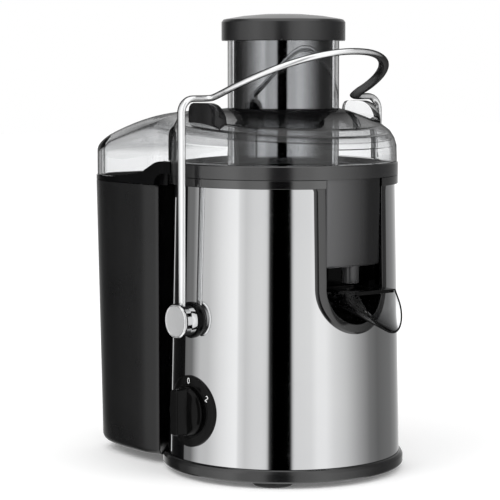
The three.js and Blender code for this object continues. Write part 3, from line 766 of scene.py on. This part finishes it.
def frameSection(z):
    rise = clamp((z - trim["low"] + trim["flare"]) / trim["flare"])
    outer = trim["reach"] + trim["flare"] * (1 - math.sqrt(1 - rise * rise))
    inner = -trim["reach"]
    proud = trim["proud"]
    points = [(inner, -6, 0), (inner, proud, 0.7), (outer - 1.7, proud, 0.5), (outer - 0.2, 0.9, 0.5),
              (outer, 0.25, 0.1), (inner + 3, 0.25, 0), (inner + 3, -6, 0)]
    return soften(points, 0, 4, True)


frameRings = []
for (y, z), normal in framePath():
    ring = []
    for across, height in frameSection(z):
        sideways, up = y + normal[0] * across, z + normal[1] * across
        ring.append((math.sqrt((bodyRadius(up) + height) ** 2 - sideways ** 2), sideways, up))
    frameRings.append(ring)
piece(loft(frameRings), "recessFrame", frameBlack, "housing", ["body_trim"], 50)

# Speed dial with its numbers, knob and grip bar
dial = {"radius": 26.5, "proud": 2.0, "edge": 0.8, "ringRadius": 20.2, "markRadius": 22.4, "markSize": 6.2,
        "lean": 0.4, "marks": (("0", 0), ("1", -60), ("2", 60)), "foot": 0.3}


def onDial(x, z, lift):
    return (x, -math.sqrt((bodyRadius(z) + lift) ** 2 - x * x), z)


def dialCircle(radius, lift, count=96):
    turns = [2 * math.pi * k / 96 for k in range(count)]
    return [onDial(radius * math.cos(a), body["dial"] + radius * math.sin(a), lift) for a in turns]


edge = dial["edge"]
dialLevels = [(0.5, dial["foot"])] + [(dial["radius"] * k / 12, dial["foot"]) for k in range(1, 12)]
dialLevels += [
    (dial["radius"], dial["foot"]), (dial["radius"], dial["proud"] - edge),
    (dial["radius"] - edge * 0.3, dial["proud"] - edge * 0.3), (dial["radius"] - edge, dial["proud"]),
]
dialLevels += [((dial["radius"] - edge) * k / 12, dial["proud"]) for k in range(11, 0, -1)]
dialLevels.append((0.5, dial["proud"]))
dialDisc = solid(loft([dialCircle(r, lift) for r, lift in dialLevels]))
dialPlate = cut(dialDisc, *bores(body["dialBore"], 70, 100, body["dial"], sides=(-1,)))
piece(dialPlate, "dialPlate", dialBlack, "housing", ["dial_plate"])
ringLine = [Vector(point) for point in dialCircle(dial["ringRadius"], dial["proud"] + 0.05, 97)]
piece(bead(ringLine, 0.45), "dialRing", dialBlack, "housing", ["dial_plate"], 60)

for text, turn in dial["marks"]:
    curve = bpy.data.curves.new("mark" + text, "FONT")
    curve.body = text
    curve.size = dial["markSize"]
    curve.align_x = "CENTER"
    curve.align_y = "CENTER"
    curve.extrude = 0.05
    curve.resolution_u = 6
    mark = placed("mark" + text, curve)
    bpy.context.view_layer.update()
    mesh = bpy.data.meshes.new_from_object(mark.evaluated_get(bpy.context.evaluated_depsgraph_get()))
    bpy.data.objects.remove(mark)
    spotX = dial["markRadius"] * math.sin(math.radians(turn))
    spotZ = body["dial"] + dial["markRadius"] * math.cos(math.radians(turn))
    lean = math.radians(turn * dial["lean"])
    for vertex in mesh.vertices:
        x = vertex.co.x * math.cos(lean) + vertex.co.y * math.sin(lean)
        z = vertex.co.y * math.cos(lean) - vertex.co.x * math.sin(lean)
        vertex.co = onDial(spotX + x, spotZ + z, dial["proud"] + 0.04 + vertex.co.z)
    piece(placed("dialMark" + text, mesh), "dialMark" + text, whiteMark, "housing", ["dial_plate"])

knob = {"radius": 18.5, "seat": 90.2, "rim": 95, "tip": 103, "halfWidth": 4.8, "halfLength": 17.4}
knobProfile = soften([
    (0, 78, 0), (3.5, 78, 0.3), (3.5, knob["seat"], 0.2), (knob["radius"], knob["seat"], 0.5),
    (knob["radius"], 91.8, 0.8), (17, 94.2, 1.6), (9, 94.9, 2), (0, knob["rim"], 0),
])
barOutline = soften([
    (knob["halfWidth"], -knob["halfLength"], 3.6), (knob["halfWidth"], knob["halfLength"], 3.6),
    (-knob["halfWidth"], knob["halfLength"], 3.6), (-knob["halfWidth"], -knob["halfLength"], 3.6),
], 0, 8, True)
barLevels = [(93, -0.5), (94.6, -0.4), (95.4, 0), (knob["tip"] - 1.6, 0.25), (knob["tip"] - 0.9, 0.45),
             (knob["tip"] - 0.35, 0.85), (knob["tip"], 1.5)]
barRings = [[(x, -t, body["dial"] + z) for x, z in inset(barOutline, pull)] for t, pull in barLevels]
knobPiece = joined(solid(alongY(revolve(knobProfile, 96), -1, body["dial"])), solid(loft(barRings)))
piece(knobPiece, "speedKnob", dialBlack, "knob", ["speed_knob"], 28)
print("dial done")

# Lock handle: hubs, washers and the bent chrome arm
arm = {"y": 95, "top": 276.6, "bend": 10.5, "wide": 3.9, "thin": 2.4, "foot": 0.86, "loopLength": 82,
       "loopHalf": 66.5, "power": 2 / 2.13}
hub = {"face": 101.5, "radius": 12.9, "neck": 11.4}
hubProfile = soften([
    (0, 98, 0), (4.3, 98, 0), (4.3, 88.8, 0.2), (11.7, 88.8, 0.3), (hub["neck"], 93.5, 6), (11.8, 98.2, 1),
    (hub["radius"], 99.7, 0.6), (hub["radius"], hub["face"] - 0.9, 0.6), (12.1, hub["face"], 0.4),
    (11.4, hub["face"], 0.2), (11.2, hub["face"] - 0.25, 0.2), (0, hub["face"] - 0.25, 0),
], 0, 5)
washerProfile = soften([(4.5, 85), (13.4, 85), (13.4, 87.9, 0.5), (12.8, 88.5, 0.4), (4.5, 88.5)], 0)
for name, side in (("front", -1), ("rear", 1)):
    hubSolid = solid(alongY(revolve(hubProfile, 96), side, pivotHeight))
    socket = moved(rod(1, 119.7, 132, 40), lambda x, y, z: (x * 4.2, side * arm["y"] + y * 2.7, z))
    hubSolid = cut(hubSolid, solid(socket))
    piece(hubSolid, "hub" + name.title(), hubSteel, "lock_handle", ["hub_" + name])
    washer = alongY(revolve(washerProfile, 80), side, pivotHeight)
    piece(washer, "hubWasher" + name.title(), shellBlack, "housing", ["hub_washer_" + name])


def armRoute():
    route = [(0, arm["y"], z) for z in (120, 140, 160, 180, 200, 220, 240, 255)]
    for k in range(9):
        a = math.pi / 2 * k / 8
        inward, down = arm["bend"] * (1 - math.cos(a)), arm["bend"] * (1 - math.sin(a))
        route.append((0, arm["y"] - inward, arm["top"] - down))
    turnIn = [(0, 81, 0), (0.15, 76, 0), (0.9, 72, 0.1), (3.2, 68.4, 0.8)]
    route += [(x, y, arm["top"] + rise) for x, y, rise in turnIn]
    for k in range(2, 25):
        a = math.pi / 2 * k / 24
        x = arm["loopLength"] * math.sin(a) ** arm["power"]
        y = arm["loopHalf"] * max(0.0, math.cos(a)) ** arm["power"]
        route.append((x, y, arm["top"] + 0.36 * x + 0.0007 * x * x))
    other = [(x, -y, z) for x, y, z in reversed(route[:-1])]
    return [Vector((x, -y, z)) for x, y, z in route + other]


def armSection(spot):
    return arm["wide"] * mix(arm["foot"], 1.0, clamp((spot.z - 125) / 80)), arm["thin"]


armShape = strip(smoothed(armRoute()), armSection, 24)
piece(armShape, "lockArm", armChrome, "lock_handle", ["lock_arm"], 60)
print("handle done")

# Pulp bin
binSize = {"foot": 2.5, "top": 210.5, "back": 170, "half": 79, "frontRadius": 94.0, "frontHalf": 74,
           "wall": 2.2, "shoulder": -78, "centre": -105, "squareness": 3.8}


def binHalf(x, pull=0.0):
    reach = binSize["back"] + binSize["shoulder"] - pull
    if x > binSize["shoulder"]:
        return binSize["half"] - 4 * ((min(x, -60) - binSize["shoulder"]) / 18) ** 2 - pull
    along = clamp((binSize["shoulder"] - x) / reach)
    return (binSize["half"] - pull) * (1 - along ** binSize["squareness"]) ** (1 / binSize["squareness"])


def binOutline(pull=0.0, frontRadius=binSize["frontRadius"], corner=2.5, steps=36):
    # Anticlockwise from the near front corner round the back to the far one, then across the hollow front.
    front, frontHalf = frontRadius + pull, binSize["frontHalf"] - pull
    cornerX = -math.sqrt(front ** 2 - frontHalf ** 2)
    side = []
    for k in range(steps + 1):
        swing = math.sin(k / steps * math.pi / 2) ** 0.8
        x = mix(cornerX - 3, -binSize["back"] + pull, swing)
        side.append((x, 0.0 if k == steps else binHalf(x, pull), corner if k == 0 else 0))
    sweep = math.asin(frontHalf / front)
    hollow = []
    for k in range(31):
        turn = mix(sweep, -sweep, k / 30)
        hollow.append((-front * math.cos(turn), front * math.sin(turn), corner if k in (0, 30) else 0))
    outline = [(x, -y, r) for x, y, r in side] + side[-2::-1] + hollow
    return soften(outline[::-1], 0, 4, True)


def binRing(z, shrink, pull):
    down = (binSize["top"] - z) / (binSize["top"] - binSize["foot"])
    ring = []
    for x, y in binOutline(pull):
        x = binSize["centre"] + (x - binSize["centre"]) * shrink
        back = clamp((-80 - x) / 78)
        ring.append((x + 5.5 * down * back, y * shrink * (1 - 0.025 * down * back), z))
    return ring


def binWall(low, pull):
    levels = [(low, 0.93), (low + 0.3, 0.948), (low + 1.1, 0.97), (low + 2.6, 0.988), (low + 5, 1)]
    levels += [(z, 1.0) for z in (25, 60, 100, 140, 180, 205)]
    return [binRing(z, shrink, pull) for z, shrink in levels]


outerWall = binWall(binSize["foot"], 0)
rim = [binRing(binSize["top"] - drop, 1.0, pull) for drop, pull in
       ((0.7, 0.0), (0.25, 0.15), (0.0, 0.6), (0.0, 1.6), (0.25, 2.05), (0.7, 2.2))]
innerWall = binWall(binSize["foot"] + binSize["wall"], binSize["wall"])[::-1]
binBody = solid(loft(outerWall + rim + innerWall))
outerOnly = solid(loft(outerWall + [binRing(binSize["top"], 1.0, 0)]))
shelfCover = overlap(solid(block((-121, -29, binSize["foot"]), (-92, 29, 8.6))), outerOnly)
shelfRoom = block((-118.6, -26.6, -5), (-80, 26.6, 6.2))
binBody = cut(joined(binBody, shelfCover), solid(shelfRoom))
piece(binBody, "pulpBin", binBlack, "bin", ["pulp_bin"], 40)
print("bin done")

# Juice collector: band and bowl, duct, nozzle, wings
collector = {"radius": 86.5, "low": 219, "top": 229, "wingFoot": 210.8}
bowlProfile = soften([
    (collector["radius"], collector["low"], 0.4), (collector["radius"], collector["top"] - 0.9, 0.6),
    (85.7, collector["top"], 0.4), (82.4, collector["top"], 0.4), (76.4, 221, 1), (75.8, 180, 2),
    (70, 173, 2), (20.5, 171, 1), (18, 173, 1), (18, 186, 0.3), (15.6, 186, 0.3), (15.6, 168.6, 0.5),
    (72, 170.4, 2), (78, 178, 2), (79, collector["low"], 0),
])
piece(revolve(bowlProfile, 192), "collectorBowl", bandBlack, "housing", ["juice_collector"])

duct = {"near": 61.1, "half": 26, "low": 155, "top": 218.9, "corner": 2.2, "nozzle": 78, "topFront": 85.6,
        "rise": 64.7}
ductRings = []
ductLevels = [(duct["low"], 1.6), (duct["low"] + 0.3, 0.9), (duct["low"] + 0.9, 0.3), (duct["low"] + 1.8, 0)]
ductLevels += [(mix(duct["low"] + 2, duct["top"], k / 10), 0) for k in range(1, 11)]
for z, pull in ductLevels:
    climb = clamp((z - duct["low"]) / duct["rise"])
    front = mix(bodyRadius(duct["low"]) - 0.6, duct["topFront"], climb) - pull
    half = duct["half"] - pull
    outline = [(duct["near"] + pull, -half, 0.6)]
    for k in range(17):
        y = mix(-half, half, k / 16)
        outline.append((math.sqrt(front ** 2 - y * y), y, duct["corner"] if k in (0, 16) else 0))
    outline.append((duct["near"] + pull, half, 0.6))
    ductRings.append([(x, y, z) for x, y in soften(outline, 0, 4, True)])
piece(loft(ductRings), "juiceDuct", ductGrey, "housing", ["juice_collector"])
nozzleProfile = soften([(6.5, 156, 0), (6.5, 143, 0.5), (5, 143, 0.4), (5, 156, 0)])
nozzle = shifted(revolve(nozzleProfile, 64), duct["nozzle"], 0)
piece(nozzle, "juiceNozzle", ductGrey, "housing", ["juice_collector"])


hoodFoot = [
    (-190, 214.3), (-125, 214.6), (-105, 215.6), (-90, 217.1), (-80, 218.7), (-73, 220.4), (-66, 223.2),
    (-58, 226.8), (-52, 228.5), (-46, collector["top"]),
]


def hoodLine(offset):
    # The line where the hood meets the collector, low along the bin and high round the ring.
    line = smoothed([Vector(point) for point in hoodFoot], 4)
    return [(point.x, point.y + offset) for point in line]


def lobe(side):
    low, top = collector["wingFoot"], collector["top"]
    points = [(-73, low), (-57, low)]
    for k in range(1, 13):
        a = math.pi / 2 * k / 12
        points.append((-57 + 12 * (1 - math.cos(a)), low + 9 * math.sin(a)))
    points += [(-36, low + 9), (-36, top), (-57, top)]
    for k in range(1, 13):
        a = math.pi / 2 * k / 15
        points.append((-57 - 16 * math.sin(a), top - 18.2 * (1 - math.cos(a))))
    return prismAlongY(points, *onSide(side, 75, 79.5))


wingFoot, wingTop = collector["wingFoot"], collector["top"]
wingOutline = binOutline(0, 87.2)
belowHood = hoodLine(0) + [(0, wingTop), (0, 205), (-binSize["back"] - 20, 205)]
plate = cut(solid(prism(wingOutline, wingFoot, 213.4)), solid(prism(binOutline(4, 98), 200, 240)))
wall = cut(solid(prism(wingOutline, wingFoot, wingTop)), solid(prism(binOutline(2.6, 80), 200, 240)))
wall = overlap(wall, solid(prismAlongY(belowHood, -100, 100)))
lipProfile = [(88.9, 222), (95.4, 211), (98.4, 213.2), (88.9, wingTop), (86.9, wingTop), (86.9, 211)]
lip = overlap(solid(revolve(lipProfile, 128)), solid(prism(binOutline(1, 80), 200, 240)),
              solid(prismAlongY(belowHood, -100, 100)))
lobes = [overlap(solid(lobe(side)), solid(prismAlongY(belowHood, -100, 100))) for side in (-1, 1)]
wings = cut(joined(plate, wall, lip, *lobes), solid(rod(collector["radius"] + 0.1, 200, 240, 192)))
piece(wings, "collectorWings", shellBlack, "housing", ["juice_collector"], 40)
print("collector done")

# Lid: dome, hood over the bin and feed chute in one clear moulding
lid = {"chuteRadius": 41.9, "chuteBore": 39.2, "chuteTop": 332.6, "chuteFoot": 200, "tilt": -0.078,
       "wall": 2.4, "foot": 229.3, "hoodFront": -30, "hoodLow": 205}


def tilted(shape):
    def lean(x, y, z):
        outward = clamp((math.hypot(x, y) - 42) / 35)
        return x, y, z + lid["tilt"] * x * outward * clamp((z - 236) / 16)
    return moved(shape, lean)


domeOutside = soften([
    (0, lid["foot"], 0), (85.6, lid["foot"], 0.3), (85.45, 236, 0), (85.3, 243, 6), (83.5, 251, 6),
    (80.3, 256, 5), (74, 260, 6), (62, 263.8, 0), (50, 267, 4), (42, 268.6, 0), (30, 268.6, 0), (0, 268.6, 0),
], 0, 6)
domeInside = soften([
    (0, 220, 0), (83.2, 220, 0), (82.9, 243, 6), (81.2, 249.4, 6), (78.5, 253.6, 5), (72.8, 257.4, 6),
    (49, 264.4, 4), (42, 266, 0), (0, 266, 0),
], 0, 6)


def hoodCrown(x):
    rise = mix(261, 266, clamp((-30 - x) / 40))
    fall = 31 * clamp((-70 - x) / 100) ** 1.5
    return rise - fall - 5 * clamp((-163 - x) / 6.5) ** 2


def hoodShape(pull, steps=44, spread=56):
    # The arched hood as sections along X, drawn in by pull; the sections grow closer toward its back.
    low = lid["hoodLow"]
    rings = []
    for i in range(steps + 1):
        along = math.sin(i / steps * math.pi / 2) ** 0.9
        x = mix(lid["hoodFront"], -binSize["back"] + 0.6 + pull, along)
        crown = hoodCrown(x - pull) - pull
        half = max(6, min(binHalf(x, pull + 0.8), 76 - pull))
        ring = [(x, -half, low)]
        for k in range(spread + 1):
            y = math.sin(math.pi / 2 * (2 * k / spread - 1))
            rise = 0.28 * max(0.0, 1 - abs(y) ** 4) ** 0.4 + 0.72
            ring.append((x, y * half, low + rise * (crown - low)))
        ring.append((x, half, low))
        rings.append(ring)
    return loft(rings)


skirt = hoodLine(0.3)
skirt += [(lid["hoodFront"], lid["foot"]), (lid["hoodFront"], 190), (-binSize["back"] - 20, 190)]
hoodOutside = cut(solid(hoodShape(0)), solid(prismAlongY(skirt, -100, 100)))
lidSolid = joined(solid(tilted(revolve(domeOutside, 160))), hoodOutside)
lidRoom = joined(solid(tilted(revolve(domeInside, 160))), solid(hoodShape(lid["wall"])))
chuteProfile = soften([
    (0, lid["chuteFoot"], 0), (lid["chuteRadius"], lid["chuteFoot"], 0.5),
    (lid["chuteRadius"], 266, 0), (lid["chuteRadius"], lid["chuteTop"], 0.6), (0, lid["chuteTop"], 0),
])
lidSolid = joined(cut(lidSolid, lidRoom), solid(revolve(chuteProfile, 128)))
lidSolid = cut(lidSolid, solid(rod(lid["chuteBore"], 190, 340, 128)))
piece(lidSolid, "clearLid", smoked, "housing", ["lid"], 35)

# Dark blocks inside the hood where it meets the dome: painted shade, standing in for the shade of that
# concave corner.
cornerShade = {"x": -44.5, "half": 1.3, "near": 67.6, "far": 74, "low": 229.5, "high": 263}
for name, side in (("Front", -1), ("Rear", 1)):
    low, high = onSide(side, cornerShade["near"], cornerShade["far"])
    corner = block((cornerShade["x"] - cornerShade["half"], low, cornerShade["low"]), (cornerShade["x"] + cornerShade["half"], high, cornerShade["high"]))
    inHood = overlap(solid(corner), solid(hoodShape(0.8)))
    piece(inHood, "hoodCornerShade" + name, paintedShadeBlack, "housing", ["lid"])

pad = {"top": 273.4, "near": 71, "far": 77.5, "back": -15, "front": 23, "drop": 15.5, "gap": 0.4}
padRoom = [(r + pad["gap"], z + pad["gap"]) for r, z in domeOutside[1:]] + [(0, 269), (0, lid["foot"])]
# The front pad is black and the rear pad clear: the black front pad is a shaded copy of the clear one,
# painted shade.
for name, side, padFinish in (("front", -1, paintedShadeBlack), ("rear", 1, padClear)):
    outline = [(pad["back"], 255), (pad["back"], 267.4), (-14.2, 270.4), (-12.2, 272.5), (-9, pad["top"]),
               (5, pad["top"])]
    for k in range(1, 11):
        a = math.pi / 2 * k / 10
        outline.append((5 + 18 * math.sin(a), pad["top"] - pad["drop"] * (1 - math.cos(a))))
    outline += [(pad["front"], 250), (pad["back"], 250)]
    padSolid = solid(prismAlongY(outline, *onSide(side, pad["near"], pad["far"])))
    padSolid = cut(padSolid, solid(tilted(revolve(padRoom, 96))))
    padSolid = bevelled(padSolid, 1.1, 3)
    piece(padSolid, "lockPad" + name.title(), padFinish, "housing", ["lock_pad_" + name])
print("lid done")

# Pusher
pusher = {"radius": 37.1, "inside": 34.7, "foot": 200, "top": 332.7, "capRadius": 46.5, "capInside": 43.8,
          "capFoot": 318.9, "capFace": 333, "capTop": 339.1}
pusherProfile = soften([
    (0, pusher["foot"], 0), (34.5, pusher["foot"], 1.5), (pusher["radius"], 202.4, 1.5),
    (pusher["radius"], pusher["top"], 0), (pusher["inside"], pusher["top"], 0), (pusher["inside"], 203, 1),
    (0, 203, 0),
])
piece(revolve(pusherProfile, 160), "pusherBody", pusherMirror, "pusher", ["pusher_body"])
capProfile = soften([
    (0, pusher["capFace"], 0), (32, pusher["capFace"], 0), (32, 322, 0.4), (34.4, 322, 0.4),
    (34.4, pusher["capFace"], 0), (pusher["capInside"], pusher["capFace"], 0.5),
    (pusher["capInside"], pusher["capFoot"], 0.4), (46.1, pusher["capFoot"], 0.4),
    (pusher["capRadius"], 319.5, 0.3), (pusher["capRadius"], 332.9, 1.2), (45.0, 334.8, 0.9),
    (43.2, 335.3, 1), (30, 337.5, 6), (15, 338.8, 6), (0, pusher["capTop"], 0),
], 0, 5)
piece(revolve(capProfile, 192), "pusherCap", capBlack, "pusher", ["pusher_cap"], 40)
print("pusher done")

# A raised chrome bead on the rear shell, a thin line from the base to the trim on each side: a painted
# highlight standing in for the light caught by the shell's step edge.
shellHighlight = {"turn": 109.4, "low": 12, "high": 203, "lift": 0.1, "radius": 0.55}
for name, side in (("Front", -1), ("Rear", 1)):
    a = math.radians(side * shellHighlight["turn"])
    highlightLine = []
    for k in range(13):
        z = mix(shellHighlight["low"], shellHighlight["high"], k / 12)
        r = bodyRadius(z) + shellHighlight["lift"]
        highlightLine.append(Vector((r * math.cos(a), r * math.sin(a), z)))
    highlightShape = bead(highlightLine, shellHighlight["radius"])
    piece(highlightShape, "shellHighlight" + name, chrome, "housing", ["body_shell"], 60)

# Drip spout
spout = {"deck": 139.5, "start": 66.0, "half": 19.4, "wall": 1.7, "steps": 20, "deckLow": 137.1,
         "deckTop": 139.7}


def spoutRing(share, pull):
    outline = [(-1, 0.0), (-1, -0.15), (-1, -0.3)]
    turns = [math.pi * k / 24 for k in range(1, 24)]
    outline += [(-math.cos(a), -0.3 - 0.7 * math.sin(a)) for a in turns]
    outline += [(1, -0.3), (1, -0.15), (1, 0.0)]
    ring = []
    for wide, deep in outline:
        end = (106 + 6.03 * deep) / (1 + 0.203 * deep)
        x = mix(spout["start"] + pull, end, share)
        bottom = 128 - 0.3 * (x - 68) + pull
        half = spout["half"] - pull - 2.4 * clamp((x - 104) / 20)
        ring.append((x, wide * half, spout["deck"] + deep * (spout["deck"] - bottom)))
    return ring


def spoutShape():
    # An open trough: outer and inner skins, joined along the top of the walls and at the back.
    steps = spout["steps"]
    outer = [spoutRing(k / steps, 0) for k in range(steps + 1)]
    inner = [spoutRing(k / steps, spout["wall"]) for k in range(steps + 1)]
    count = len(outer[0])
    rings = outer + inner[::-1]
    last = len(rings) - 1
    points = [p for ring in rings for p in ring]
    faces = []
    for i in range(last):
        for k in range(count - 1):
            faces.append([i * count + k, i * count + k + 1, (i + 1) * count + k + 1, (i + 1) * count + k])
    for k in (0, count - 1):
        for i in range(steps):
            faces.append([j * count + k for j in (i, i + 1, last - i - 1, last - i)])
    faces.append(list(range(count)))
    faces.append([last * count + k for k in range(count - 1, -1, -1)])
    faces.append([0, count - 1, last * count + count - 1, last * count])
    return points, faces


piece(spoutShape(), "spoutTrough", spoutClear, "spout", ["drip_spout"], 40)
# A black bead along the top of the trough's walls: a painted dark line, standing in for the shade along the
# clear lip.
lipShadeLine = [Vector(point) for point in spoutRing(1, spout["wall"] / 2)]
piece(bead(lipShadeLine, 0.55), "spoutLipShade", dialBlack, "spout", ["drip_spout"], 60)
deckOutline = soften([(66, -19.3, 1), (105.8, -19.3, 2.5), (105.8, 19.3, 2.5), (66, 19.3, 1)], 0, 5, True)
deckWindow = soften([(69, -11, 3), (92, -11, 3), (92, 11, 3), (69, 11, 3)], 0, 6, True)
deckPlate = solid(prism(deckOutline, spout["deckLow"], spout["deckTop"]))
deckPlate = cut(deckPlate, solid(prism(deckWindow, 130, 150)))
deckPins = bores(1.8, 18.5, 23.2, body["pinHeight"], body["pinAcross"])
deckSolid = bevelled(joined(deckPlate, *deckPins), 0.4)
piece(deckSolid, "spoutDeck", dialBlack, "spout", ["drip_spout"])
print("spout done")

# Filter basket, seen through the lid
basket = {"low": 192.3, "high": 219.7, "rimLow": 220, "rimTop": 226.4}
coneProfile = [
    (51.5, basket["low"]), (52.3, basket["low"]), (71.4, basket["high"]), (70.6, basket["high"]),
]
piece(revolve(coneProfile, 160), "filterCone", meshSteel, "rotor", ["filter_mesh"])
rimProfile = soften([
    (69.6, basket["rimLow"], 0.3), (74.6, basket["rimLow"], 0.3), (74.6, basket["rimTop"] - 1, 0.5),
    (73.6, basket["rimTop"], 0.5), (69.6, basket["rimTop"], 0.4),
])
piece(revolve(rimProfile, 128), "basketRim", greyPlastic, "rotor", ["basket_rim"])
print("basket done")

# Studio: floor, soft surround, lights and camera
studio = {"radius": 0.5, "low": -0.5, "high": 0.95, "floor": 6.0, "brightness": 1.4}
# Brightness of the surround by its angle round the body, in three stretches
surround = [
    (-180, 0.3), (-168, 0.05), (-150, 0.02), (-146, 0.1), (-140, 0.13), (-134, 0.13), (-128, 0.3),
    (-122, 0.43), (-112, 0.45), (-107, 0.515), (-98, 0.63), (-89, 0.716), (-81.5, 0.76), (-79, 0.6),
    (-73, 0.5), (-65.6, 0.56), (-58, 0.58), (-54, 0.55), (-52.4, 0.4), (-50.8, 0.03), (-48, 0.0),
    (-32.2, 0.0), (-30, 0.45), (-28.5, 0.57), (-14, 0.6), (-7.5, 0.7), (0, 0.7), (8, 0.585),
    (20, 0.475), (34, 0.296), (49, 0.144), (61, 0.1), (85, 0.13),
]
surroundBack = [(97, 0.19), (108, 0.29), (125, 0.55), (150, 0.7), (168, 0.5), (180, 0.3)]
floorMesh = bpy.data.meshes.new("floor")
reach = studio["floor"]
floorCorners = [(-reach, -reach, 0), (reach, -reach, 0), (reach, reach, 0), (-reach, reach, 0)]
floorMesh.from_pydata(floorCorners, [], [(0, 1, 2, 3)])
floor = placed("floor", floorMesh)
floor.data.materials.append(finish("paleFloor", paleSurface))
floor.visible_glossy = False


def surroundFinish():
    # A glowing wall that only glossy rays see, brighter and darker by its angle round the body.
    material = bpy.data.materials.new("softSurround")
    material.use_nodes = True
    material.node_tree.nodes.clear()
    wire = Wire(material.node_tree)
    share = wire.turnOf(wire.fromAxis()) * (0.5 / math.pi) + 0.5
    split = (-81.5, 85)

    def stretch(stops, low, high):
        places = [((a - low) / (high - low), tone) for a, tone in stops]
        across = wire.band(share, (low + 180) / 360, (high + 180) / 360)
        return wire.add("ValToRGB", {"stops": places}, {0: across})

    rear = stretch([(a, t) for a, t in surround if a <= split[0]], -180, split[0])
    near = stretch([(a, t) for a, t in surround if a >= split[0]], *split)
    far = stretch([surround[-1]] + surroundBack, split[1], 180)
    first = wire.blend(wire.maths("GREATER_THAN", share, (180 + split[0]) / 360), rear, near)
    tone = wire.blend(wire.maths("GREATER_THAN", share, (180 + split[1]) / 360), first, far)
    glow = wire.add("Emission", None, {"Color": tone, "Strength": studio["brightness"]})
    # Light that has only gone through the clear parts passes on to the pale background.
    bounced = wire.maths("GREATER_THAN", wire.add("LightPath", None, None, "Glossy Depth"), 0.5)
    clear = wire.add("BsdfTransparent")
    surface = wire.add("MixShader", None, {0: bounced, 1: clear, 2: glow})
    wire.add("OutputMaterial", None, {"Surface": surface})
    return material


tentPoints, tentFaces = [], []
for k in range(128):
    a = 2 * math.pi * k / 128
    x, y = bodyAxis.x + studio["radius"] * math.cos(a), bodyAxis.y + studio["radius"] * math.sin(a)
    tentPoints += [(x, y, studio["low"]), (x, y, studio["high"])]
    n = (k + 1) % 128
    tentFaces.append((2 * k, 2 * n, 2 * n + 1, 2 * k + 1))
tentMesh = bpy.data.meshes.new("softSurround")
tentMesh.from_pydata(tentPoints, [], tentFaces)
tent = placed("softSurround", tentMesh)
tent.data.materials.append(surroundFinish())
tent.visible_camera = False
tent.visible_diffuse = False
tent.visible_shadow = False

world = bpy.data.worlds.new("paleStudio")
bpy.context.scene.world = world
world.use_nodes = True
world.node_tree.nodes["Background"].inputs[0].default_value = (1, 1, 1, 1)
world.node_tree.nodes["Background"].inputs[1].default_value = 1.0


def softLight(name, place, size, watts):
    light = bpy.data.lights.new(name, "AREA")
    light.size = size
    light.energy = watts
    lamp = placed(name, light)
    lamp.location = place
    aim = Vector((0, 0, 0.15)) - Vector(place)
    lamp.rotation_euler = aim.to_track_quat("-Z", "Y").to_euler()
    lamp.visible_glossy = False


softLight("keyLight", (0.1, -1.3, 1.5), 1.0, 9)
softLight("fillLight", (1.5, 0.4, 1.1), 1.2, 6)

view = {"turn": 51.109, "distance": 1532.95, "height": 305.09, "pitch": 5.366, "yaw": 0.938, "lens": 146.12}
turn = math.radians(view["turn"])
aimTurn = math.radians(view["turn"] + view["yaw"])
pitch = math.radians(view["pitch"])
forward = Vector((
    -math.sin(aimTurn) * math.cos(pitch), math.cos(aimTurn) * math.cos(pitch), -math.sin(pitch)))
rightward = forward.cross(Vector((0, 0, 1))).normalized()
upward = rightward.cross(forward)
cameraData = bpy.data.cameras.new("view")
cameraData.lens = view["lens"]
cameraData.sensor_width = 36
camera = placed("view", cameraData)
place = toFrame((view["distance"] * math.sin(turn), -view["distance"] * math.cos(turn), view["height"]))
camera.matrix_world = Matrix((
    (rightward.x, upward.x, -forward.x, place.x),
    (rightward.y, upward.y, -forward.y, place.y),
    (rightward.z, upward.z, -forward.z, place.z),
    (0, 0, 0, 1),
))
bpy.context.scene.camera = camera
bpy.context.scene.view_settings.view_transform = "Standard"
print("studio done")
